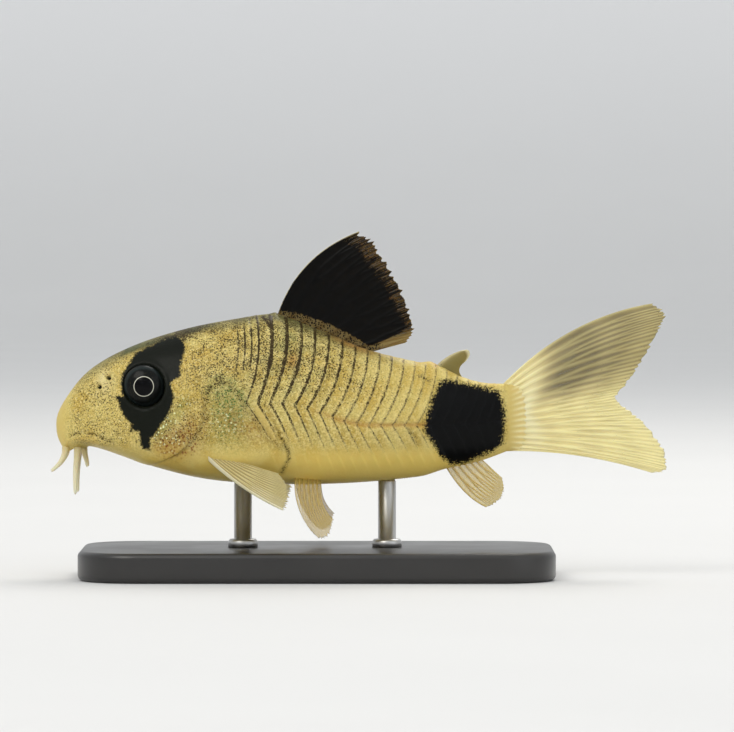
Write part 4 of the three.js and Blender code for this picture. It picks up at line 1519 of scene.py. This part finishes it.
@dataclass
class Fin:
    """A fan of branching rays with a membrane between them.

    root and edge run from the first ray to the last. bow is a ray's curve at half length, for shares of the
    fan, in metres. out is the way the fin's thickness runs. pigment, specks, white and dusky give a mark for
    shares of the fan and of a ray's length.
    """

    name: str
    nodes: tuple[str, ...]
    slot: str
    rays: int
    root: Curve
    edge: Curve
    bow: Curve
    out: Point3 = (0.0, 1.0, 0.0)
    spine: float = 1.6
    web: float = 0.1 * MM
    ridge: float = 0.16 * MM
    lines: int = 14
    rings: int = 64
    tips_per_ray: int = 8
    joint_turns: float = 90.0
    branched: float = 1.0
    breadth: float = 1.0
    ragged: float = 0.03
    ripple: float = 0.0
    pigment: FanMark = unmarked
    gaps: float = 0.0
    specks: FanMark = unmarked
    white: FanMark = unmarked
    dusky: FanMark = unmarked
    seed: int = 7

    def ray_profile(self, fan: Array, reach: Array) -> Array:
        """How far each place is up on a ray; rays split in two and again in four towards the edge.

        Args:
            fan: shares of the fan.
            reach: shares of a ray's length.

        Returns:
            The heights, 0 on the membrane to 1 on a ray.
        """
        place = fan * (self.rays - 1)
        number = np.round(place)
        t = place - number
        spine = number < 0.5
        branches = np.where(spine, 0, self.branched)
        wide = np.where(spine, 0.24, mix(0.2, 0.06, smooth(reach, 0.1, 0.9))) * self.breadth
        split = 0.25 * smooth(reach, 0.28, 0.6) * branches
        again = 0.125 * smooth(reach, 0.58, 0.88) * branches
        profile = np.zeros_like(fan)
        for one in (-1, 1):
            for two in (-1, 1):
                profile = np.maximum(profile, np.exp(-(((t - one * split - two * again) / wide) ** 2)))
        return profile

    def shape(self, wrap: Array, reach: Array) -> tuple[Array, Marks]:
        """Shapes the fin.

        Args:
            wrap: shares 0 to 1 round its two faces.
            reach: shares 0 to 1 out along its rays.

        Returns:
            The points in the model's frame, and the marks on them.
        """
        fan = 1 - np.abs(2 * wrap - 1)
        face = np.where(wrap < 0.5, 1.0, -1.0)
        rays = self.ray_profile(fan, reach)
        rng = np.random.default_rng(self.seed)
        tips = rng.uniform(0, 1, self.rays * self.tips_per_ray + 1)
        tip = np.interp(fan * (self.rays - 1) * self.tips_per_ray, np.arange(len(tips)), tips)
        end_rays = self.ray_profile(fan, np.ones_like(fan))
        out = reach * (1 - self.ragged * smooth(reach, 0.6, 1) * ((1 - end_rays) * 0.4 + tip * 0.9))
        points = mix(self.root(fan), self.edge(fan), out[:, None])
        points = points + self.bow(fan) * (4 * out * (1 - out))[:, None]
        stout = 1 + (self.spine - 1) * hump(fan * (self.rays - 1), 0, 0.5)
        joints = 1 - 0.12 * (0.5 + 0.5 * np.cos(reach * self.joint_turns)) * smooth(reach, 0.2, 0.4)
        thick = self.web * mix(1, 0.5, reach) + self.ridge * rays * stout * joints * mix(1, 0.35, reach)
        thick = thick * np.sqrt(np.clip(1 - smooth(reach, 0.985, 1.0), 0, 1))
        thick = thick * mix(0.3, 1, smooth(reach, 0, 0.09))
        rim = np.sqrt(np.clip(np.minimum(fan, 1 - fan) * (self.rays - 1) / 0.12, 0, 1))
        wave = self.ripple * np.sin(fan * 9 + reach * 3) * reach**2
        across = np.array(self.out) / np.linalg.norm(self.out)
        points = points + across * (face * thick * rim / 2 + wave)[:, None]
        points[reach < 1e-6] = self.root(fan)[reach < 1e-6]
        whole = 1 - self.gaps * smooth(reach, 0.5, 0.95) * (1 - rays)
        marks = {
            "fan": fan,
            "reach": reach,
            "ray": rays * smooth(reach, 0, 0.04),
            "pigment": np.clip(self.pigment(fan, reach) * whole, 0, 1),
            "specks": np.clip(self.specks(fan, reach), 0, 1),
            "white": np.clip(self.white(fan, reach), 0, 1),
            "dusky": np.clip(self.dusky(fan, reach), 0, 1),
        }
        return points, marks

    def build(self, material: bpy.types.Material, mirrored: bool = False) -> bpy.types.Object:
        """Builds and dresses the fin.

        Args:
            material: its finish.
            mirrored: whether it is the right one of a pair.

        Returns:
            The fin.
        """

        def placed(wrap: Array, reach: Array) -> tuple[Array, Marks]:
            """The shape, mirrored where asked.

            Args:
                wrap: shares 0 to 1 round the fin's two faces.
                reach: shares 0 to 1 out along its rays.

            Returns:
                The points and the marks on them.
            """
            points, marks = self.shape(wrap, reach)
            if mirrored:
                points[:, 1] *= -1
            return points, marks

        bm = bent_sheet(2 * self.lines * (self.rays - 1), self.rings, placed)
        return finished(self.name, bm, material, self.slot, *self.nodes)


@dataclass
class MiddleFins:
    """The fins of the middle plane: back, fat, vent and tail."""

    plan: BodyPlan
    fan: TailFan = TailFan()

    def ridge_root(self, line: Contour, start: float, end: float, inset: float) -> Curve:
        """The root of a fin on the back or the belly.

        Args:
            line: the outline that it stands on.
            start: where its first ray stands, in hundredths of the length.
            end: where its last ray stands.
            inset: how far the root lies above the outline; it is negative below it.

        Returns:
            Its points, for shares of the fan.
        """

        def root(fan: Array) -> Array:
            """The points for shares of the fan."""
            x = mix(start, end, fan)
            return self.plan.placed(np.stack([x, np.zeros_like(x), line(x) + inset], axis=-1))

        return root

    def edge(self, *points: Point2) -> Curve:
        """A fin's outer edge through points in the middle plane."""
        path = Path3(tuple((x, 0.0, z) for x, z in points))
        return lambda fan: self.plan.placed(path(fan))

    @staticmethod
    def bowed(x: float, z: float, fade: float = 1.5) -> Curve:
        """A bow that is greatest at the first ray, in millimetres."""
        return lambda fan: np.array([x, 0, z]) * MM * ((1 - fan) ** fade)[:, None]

    def dorsal(self) -> bpy.types.Object:
        """Builds and dresses the black fin of the back.

        Returns:
            The fin.
        """

        def pigment(fan: Array, reach: Array) -> Array:
            """Black but for a clear strip at the root and a clear hind corner.

            Args:
                fan: shares of the fan.
                reach: shares of a ray's length.

            Returns:
                The mark.
            """
            strip = smooth(reach, mix(0.03, 0.15, fan), mix(0.1, 0.34, fan))
            corner = 1 - smooth(fan - 0.1 * (1 - reach), 0.78, 0.87)
            lead = smooth(fan, 0.003, 0.012)
            return strip * corner * mix(0.3, 1, lead) * 1.25

        def specks(fan: Array, reach: Array) -> Array:
            """Brown specks on the clear strip."""
            return 1.15 * (1 - smooth(reach, 0.3, 0.5)) + 0.6 * smooth(fan, 0.75, 0.9) * (1 - reach)

        def dusky(fan: Array, reach: Array) -> Array:
            """Dusky but for the hind corner, and less so on the clear strip."""
            return smooth(reach, 0.4, 0.6) * (1 - smooth(fan, 0.84, 0.9)) + 0.35 * (reach < 0.4)

        finish = FinFinish(
            "dark_fin", membrane=tone(132, 114, 60), ray=tone(116, 94, 48), pigment=tone(3, 3, 2), clear=0.8,
            ray_cover=0.92, pigment_cover=0.995, speck_grain=0.15 * MM, dusk=tone(40, 30, 13), wet=0.0,
            threads=115.0, frayed=0.9,
        )
        fin = Fin(
            "dorsal_sail", ("dorsal_fin",), "dark_fin", rays=8,
            root=self.ridge_root(self.plan.back, 48.9, 68.9, -0.9),
            edge=self.edge(
                (67.4, 42.9), (71, 40.6), (73.6, 36.4), (76.4, 31.4), (78.4, 26.6), (79.7, 21.4), (78, 18.2)
            ),
            bow=self.bowed(-0.95, 0.85), lines=30, rings=84, ragged=0.05, ripple=0.06 * MM, spine=2.0,
            pigment=pigment, gaps=0.3, specks=specks, seed=3, dusky=dusky,
            white=lambda fan, reach: 0.7 * hump(fan, 0, 0.006) * smooth(reach, 0.05, 0.2),
        )
        return fin.build(finish.make())

    def adipose(self) -> bpy.types.Object:
        """Builds and dresses the small fat fin with its spine.

        Returns:
            The fin.
        """
        finish = FinFinish("fat_fin", membrane=tone(124, 112, 46), ray=tone(154, 140, 72), clear=0.92)
        fin = Fin(
            "fat_fin_sail", ("adipose_fin",), "membrane", rays=2,
            root=self.ridge_root(self.plan.back, 83.9, 91.0, -0.9),
            edge=self.edge(
                (90.4, 16.5), (91.5, 16.5), (91.9, 15.5), (91.2, 14.2), (89.9, 13), (89.6, 11.6), (90.6, 9.9)
            ),
            bow=self.bowed(-0.1, 0.2, 1), lines=48, rings=48, branched=0, spine=1.5, web=0.2 * MM, ragged=0.0,
            white=lambda fan, reach: 0.6 * smooth(reach, 0.86, 0.97) + 0.4 * hump(fan, 0, 0.1),
            specks=lambda fan, reach: 0.5 * (1 - smooth(reach, 0.1, 0.5)),
        )
        return fin.build(finish.make())

    def anal(self) -> bpy.types.Object:
        """Builds and dresses the fin behind the vent.

        Returns:
            The fin.
        """
        finish = FinFinish(
            "vent_fin", membrane=tone(224, 200, 112), ray=tone(206, 178, 92), clear=0.5, ray_cover=0.8
        )
        fin = Fin(
            "vent_fin_sail", ("anal_fin",), "membrane", rays=7,
            root=self.ridge_root(self.plan.belly, 86.2, 94.0, 1.0),
            edge=self.edge((95.8, -18.6), (98.6, -17), (99.6, -14.6), (99.2, -12)),
            bow=self.bowed(-0.1, -0.5, 1), lines=20, rings=48, ragged=0.04,
            specks=lambda fan, reach: 0.3 * smooth(reach, 0.05, 0.2) * (1 - smooth(reach, 0.3, 0.8)), seed=5,
        )
        return fin.build(finish.make())

    def tail(self) -> bpy.types.Object:
        """Builds and dresses the forked tail fin, both lobes in one sheet.

        Returns:
            The fin.
        """

        def root(fan: Array) -> Array:
            """The root across the end of the tail's flesh.

            Args:
                fan: shares of the fan.

            Returns:
                One point for each share.
            """
            along = np.full_like(fan, self.fan.root_along)
            up = self.fan.root_top - self.fan.root_height * fan
            return self.plan.placed(np.stack([along, np.zeros_like(fan), up], axis=-1))

        def bow(fan: Array) -> Array:
            """The rays' curves, which are greatest at the upper and lower edges.

            Args:
                fan: shares of the fan.

            Returns:
                The curve at half length of each ray, in metres.
            """
            upper = np.clip(1 - 2 * fan, 0, 1) ** 1.5
            lower = np.clip(2 * fan - 1, 0, 1) ** 1.5
            return (np.array([-0.5, 0, 1.1]) * upper[:, None] + np.array([0, 0, 0.55]) * lower[:, None]) * MM

        def dusky(fan: Array, reach: Array) -> Array:
            """A dusky upper lobe with a cloud on it, and faint bars.

            Args:
                fan: shares of the fan.
                reach: shares of a ray's length.

            Returns:
                The mark.
            """
            lobe = 0.82 * (1 - smooth(fan, 0.28, 0.52)) * smooth(reach, 0.16, 0.42)
            cloud = 0.3 * hump(fan, 0.28, 0.1) * hump(reach, 0.5, 0.18)
            bars = 0.12 * (0.5 + 0.5 * np.cos(reach * 24)) * smooth(reach, 0.2, 0.4)
            return lobe + cloud + bars

        def specks(fan: Array, reach: Array) -> Array:
            """Dusty specks in rows across the rays."""
            rows = 0.5 + 0.5 * np.cos(reach * 26)
            return (0.24 * rows**3 + 0.12) * smooth(reach, 0.15, 0.35) * (1 - 0.5 * fan)

        finish = FinFinish(
            "tail_fin", membrane=tone(242, 221, 146), ray=tone(254, 241, 180), clear=0.66, ray_cover=0.92,
            dusk=tone(92, 82, 32), threads=70.0, grey=0.24,
        )
        fin = Fin(
            "tail_fan", ("tail_fin_upper", "tail_fin_lower"), "membrane", rays=self.fan.rays, root=root,
            edge=self.edge(
                (132.6, 26.9), (135.6, 24.6), (134.2, 21), (130.6, 14.6), (127.2, 9.4), (124.6, 5.7),
                (128.4, 2.4), (132.4, -1.4), (135.6, -6.6), (135.8, -10.2), (132.6, -10.9),
            ),
            bow=bow, lines=22, rings=84, breadth=1.55, ragged=0.024, ripple=0.12 * MM, spine=1.4,
            dusky=dusky, specks=specks, seed=11,
            # A whitish band over the rays' bases: partly their own pale colour, partly painted glints.
            white=lambda fan, reach: 0.85 * hump(reach, 0.19, 0.07) * hump(fan, 0.5, 0.34),
        )
        return fin.build(finish.make())


@dataclass
class PairedFins:
    """The breast and belly fins, one of each on either side."""

    plan: BodyPlan

    def root(self, start: Point2, end: Point2, inset: float) -> Curve:
        """The root of a fin on the left flank.

        Args:
            start: where its first ray stands, along and up.
            end: where its last ray stands.
            inset: how far the root is sunk in the flank, in hundredths of the length.

        Returns:
            Its points, for shares of the fan.
        """
        shares = np.linspace(0, 1, 9)
        places = [(mix(start[0], end[0], s), mix(start[1], end[1], s)) for s in shares]
        path = Path3(tuple(tuple(self.plan.flank(along, up, -inset)) for along, up in places))
        return lambda fan: self.plan.placed(path(fan))

    def edge(self, *points: Point3) -> Curve:
        """A fin's outer edge through points in space."""
        path = Path3(points)
        return lambda fan: self.plan.placed(path(fan))

    def breast(self, side: str, material: bpy.types.Material) -> bpy.types.Object:
        """Builds and dresses one breast fin.

        Args:
            side: left or right.
            material: its finish.

        Returns:
            The fin.
        """
        fin = Fin(
            f"breast_fin_{side}", (f"pectoral_fin_{side}",), "membrane", rays=9,
            root=self.root((32.6, -6.1), (39.9, -8.4), 1.3),
            edge=self.edge((51.4, -24.6, -18.2), (52.2, -24, -15.4), (51.6, -22.4, -12.4), (50, -19.6, -10)),
            bow=lambda fan: np.array([0, -0.35, -0.5]) * MM * (1 - fan)[:, None], out=(0.25, -0.62, 0.74),
            spine=3.0, lines=16, rings=56, breadth=1.3, ragged=0.05, ripple=0.1 * MM,
            white=lambda fan, reach: 0.85 * hump(fan, 0, 0.05),
            specks=lambda fan, reach: 0.25 * (1 - reach) * smooth(fan, 0.1, 0.3), seed=21,
        )
        return fin.build(material, mirrored=SIDES[side] > 0)

    def belly(self, side: str, material: bpy.types.Material) -> bpy.types.Object:
        """Builds and dresses one belly fin.

        Args:
            side: left or right.
            material: its finish.

        Returns:
            The fin.
        """
        fin = Fin(
            f"belly_fin_{side}", (f"pelvic_fin_{side}",), "membrane", rays=7,
            root=self.root((53.2, -11.8), (59.2, -12.4), 1.2),
            edge=self.edge((57.2, -17.6, -23.2), (59.2, -18, -24.6), (61, -17, -23.8), (62, -14.4, -20.6)),
            bow=lambda fan: np.array([-0.5, -0.5, -0.2]) * MM * np.ones_like(fan)[:, None],
            out=(0.35, -0.7, 0.62), spine=1.5, lines=18, rings=52, ragged=0.05, ripple=0.08 * MM,
            specks=lambda fan, reach: 0.4 * hump(reach, 0.3, 0.3), seed=33,
        )
        return fin.build(material, mirrored=SIDES[side] > 0)

    def build(self) -> list[bpy.types.Object]:
        """Builds and dresses the four fins.

        Returns:
            The fins.
        """
        breast = FinFinish(
            "breast_fin", membrane=tone(186, 166, 104), ray=tone(222, 206, 146), clear=0.6, ray_cover=0.86
        ).make()
        belly = FinFinish(
            "belly_fin", membrane=tone(212, 184, 92), ray=tone(200, 172, 88), clear=0.32, ray_cover=0.62
        ).make()
        made = []
        for side in SIDES:
            made += [self.breast(side, breast), self.belly(side, belly)]
        return made


@dataclass
class DisplayStand:
    """A flat base with rounded corners and two thin rods that carry the fish."""

    corner: float = 5 * MM
    edge: float = 0.5 * MM
    collar: float = 1.25 * MM
    collar_height: float = 0.7 * MM
    sunk: float = 0.45 * MM
    sides: int = 48

    def base(self) -> bpy.types.Object:
        """Builds and dresses the base from the size of its solid.

        Returns:
            The base.
        """
        low, high = (Vector(corner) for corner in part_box("stand_base"))
        bm = bmesh.new()
        bmesh.ops.create_cube(bm, size=1)
        bmesh.ops.scale(bm, vec=high - low, verts=bm.verts)
        bmesh.ops.translate(bm, vec=(low + high) / 2, verts=bm.verts)
        upright = [e for e in bm.edges if abs(e.verts[0].co.z - e.verts[1].co.z) > self.edge]
        bmesh.ops.bevel(
            bm, geom=upright, offset=self.corner, affect="EDGES", segments=14, profile=0.5, material=-1
        )
        rims = [e for e in bm.edges if e.calc_face_angle(0) > 1.2]
        bmesh.ops.bevel(
            bm, geom=rims, offset=self.edge, affect="EDGES", segments=5, profile=0.5, material=-1
        )
        return finished("display_base", bm, StandFinish.LACQUER.make(), "stand_base", "stand_base")

    def rod(self, node: str, material: bpy.types.Material) -> bpy.types.Object:
        """Builds and dresses one rod, with a collar at its foot; its top ends just inside the belly's skin.

        Args:
            node: the rod's solid.
            material: its finish.

        Returns:
            The rod.
        """
        low, high = (Vector(corner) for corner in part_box(node))
        radius, middle = (high.x - low.x) / 2, (low + high) / 2
        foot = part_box("stand_base")[1][2]
        profile = (
            (0, foot),
            (self.collar, foot),
            (self.collar, foot + self.collar_height * 0.7),
            (self.collar - 0.15 * MM, foot + self.collar_height),
            (radius, foot + self.collar_height),
            (radius, high.z + self.sunk - 0.2 * MM),
            (radius - 0.12 * MM, high.z + self.sunk),
            (0, high.z + self.sunk),
        )
        bm = turned(profile, middle, self.sides)
        return finished(f"{node}_pin", bm, material, "stand_rod", node)

    def build(self) -> list[bpy.types.Object]:
        """Builds and dresses the stand."""
        steel = StandFinish.STEEL.make()
        return [self.base(), self.rod("stand_rod_front", steel), self.rod("stand_rod_back", steel)]


# The studio


@dataclass
class Studio:
    """A pale sweep, soft lamps and the camera."""

    look_at: Point3 = (4.2 * MM, 0, 17.8 * MM)
    distance: float = 500 * MM
    elevation: float = math.radians(1.5)
    lens: float = 290.6
    sensor: float = 36
    floor_radius: float = 0.9
    sweep_radius: float = 0.5
    wall_height: float = 0.7
    floor_sides: int = 120

    def floor(self) -> None:
        """Lays a round floor that sweeps up into a backdrop on every side."""
        steps = [math.radians(angle) for angle in range(0, 91, 6)]
        profile = [(0.0, 0.0)]
        for angle in steps:
            reach = self.floor_radius + math.sin(angle) * self.sweep_radius
            profile.append((reach, (1 - math.cos(angle)) * self.sweep_radius))
        profile.append((self.floor_radius + self.sweep_radius, self.wall_height))
        bm = turned(profile, Vector((0, 0, 0)), self.floor_sides)
        bmesh.ops.recalc_face_normals(bm, faces=bm.faces)
        bmesh.ops.reverse_faces(bm, faces=bm.faces)
        mesh = bpy.data.meshes.new("pale_floor")
        bm.to_mesh(mesh)
        bm.free()
        mesh.shade_smooth()
        floor = bpy.data.objects.new("pale_floor", mesh)
        bpy.context.scene.collection.objects.link(floor)
        f = Finish("pale_floor")
        ground = f.blend(f.noise(40 * MM, 2), tone(220, 220, 219), tone(224, 224, 223))
        # The sweep and the wall are painted lighter than the floor, to make up for the lamp light that falls
        # off before it reaches them.
        f.join(f.blend(f.step(f.height(), 0.0, 0.12), ground, tone(246, 246, 246)), "Base Color")
        f.set(Roughness=0.8)
        mesh.materials.append(f.material)

    def lamp(self, name: str, at: Point3, size: float, power: float, colour: Colour) -> None:
        """Hangs one soft lamp that faces the fish.

        Args:
            name: the lamp's name.
            at: its place in metres.
            size: its side in metres.
            power: its power in watts.
            colour: its colour.
        """
        light = bpy.data.lights.new(name, "AREA")
        light.size = size
        light.energy = power
        light.color = colour[:3]
        lamp = bpy.data.objects.new(name, light)
        lamp.location = at
        lamp.rotation_euler = (Vector(self.look_at) - Vector(at)).to_track_quat("-Z", "Y").to_euler()
        bpy.context.scene.collection.objects.link(lamp)

    def camera(self) -> None:
        """Sets the camera at the left side, nearly level."""
        data = bpy.data.cameras.new("camera")
        data.lens = self.lens
        data.sensor_width = self.sensor
        data.clip_start = 1 * MM
        camera = bpy.data.objects.new("camera", data)
        target = Vector(self.look_at)
        away = Vector((0, -math.cos(self.elevation), math.sin(self.elevation))) * self.distance
        camera.location = target + away
        camera.rotation_euler = (-away).to_track_quat("-Z", "Y").to_euler()
        bpy.context.scene.collection.objects.link(camera)
        bpy.context.scene.camera = camera

    def world(self) -> None:
        """Fills the room with soft light, and shows the colours as they are given."""
        world = bpy.data.worlds.new("room")
        world.use_nodes = True
        bpy.context.scene.view_settings.view_transform = "Standard"
        background = world.node_tree.nodes["Background"]
        background.inputs["Color"].default_value = tone(226, 228, 230)
        background.inputs["Strength"].default_value = 1.0
        bpy.context.scene.world = world

    def build(self) -> None:
        """Builds the studio."""
        self.floor()
        self.world()
        self.lamp("key", (-0.22, -0.32, 0.42), 0.3, 0.95, tone(255, 251, 244))
        self.lamp("fill", (0.4, -0.3, 0.18), 0.4, 0.25, tone(245, 248, 255))
        self.lamp("back", (0.1, 0.22, 0.34), 0.2, 0.6, tone(255, 251, 244))
        self.camera()


BARBELS = (
    Barbel(
        "upper_barbel",
        ((2.3, 3.9, -4.9), (2.0, 4.5, -6.7), (0.9, 5.2, -8.6), (-0.8, 6.6, -10.2)),
        root_radius=0.31 * MM,
        tip_radius=0.14 * MM,
    ),
    Barbel(
        "lower_barbel",
        ((5.0, 3.4, -5.0), (4.8, 4.1, -7.2), (4.5, 5, -11), (4.5, 5.6, -15.4)),
        root_radius=0.35 * MM,
        tip_radius=0.14 * MM,
    ),
    Barbel(
        "lip_flap",
        ((6.2, 1.3, -5.2), (6.4, 1.5, -6.6), (6.8, 1.8, -8.2), (7, 2.2, -9.4)),
        root_radius=0.28 * MM,
        tip_radius=0.11 * MM,
    ),
)


def main() -> None:
    """Builds the studio and the model, and reports each piece."""
    logging.basicConfig(level=logging.INFO, format="%(message)s")
    plan = BodyPlan()
    Studio().build()
    Skin(plan).build()
    eye_material = EyeFinish().make()
    barbel_material = BarbelFinish().make()
    for side in SIDES:
        Eye(side).build(eye_material)
        for barbel in BARBELS:
            barbel.build(plan, side, barbel_material)
    fins = MiddleFins(plan)
    for make in (fins.dorsal, fins.adipose, fins.anal, fins.tail):
        make()
    PairedFins(plan).build()
    DisplayStand().build()
    bpy.context.view_layer.update()


if __name__ == "__main__":
    main()
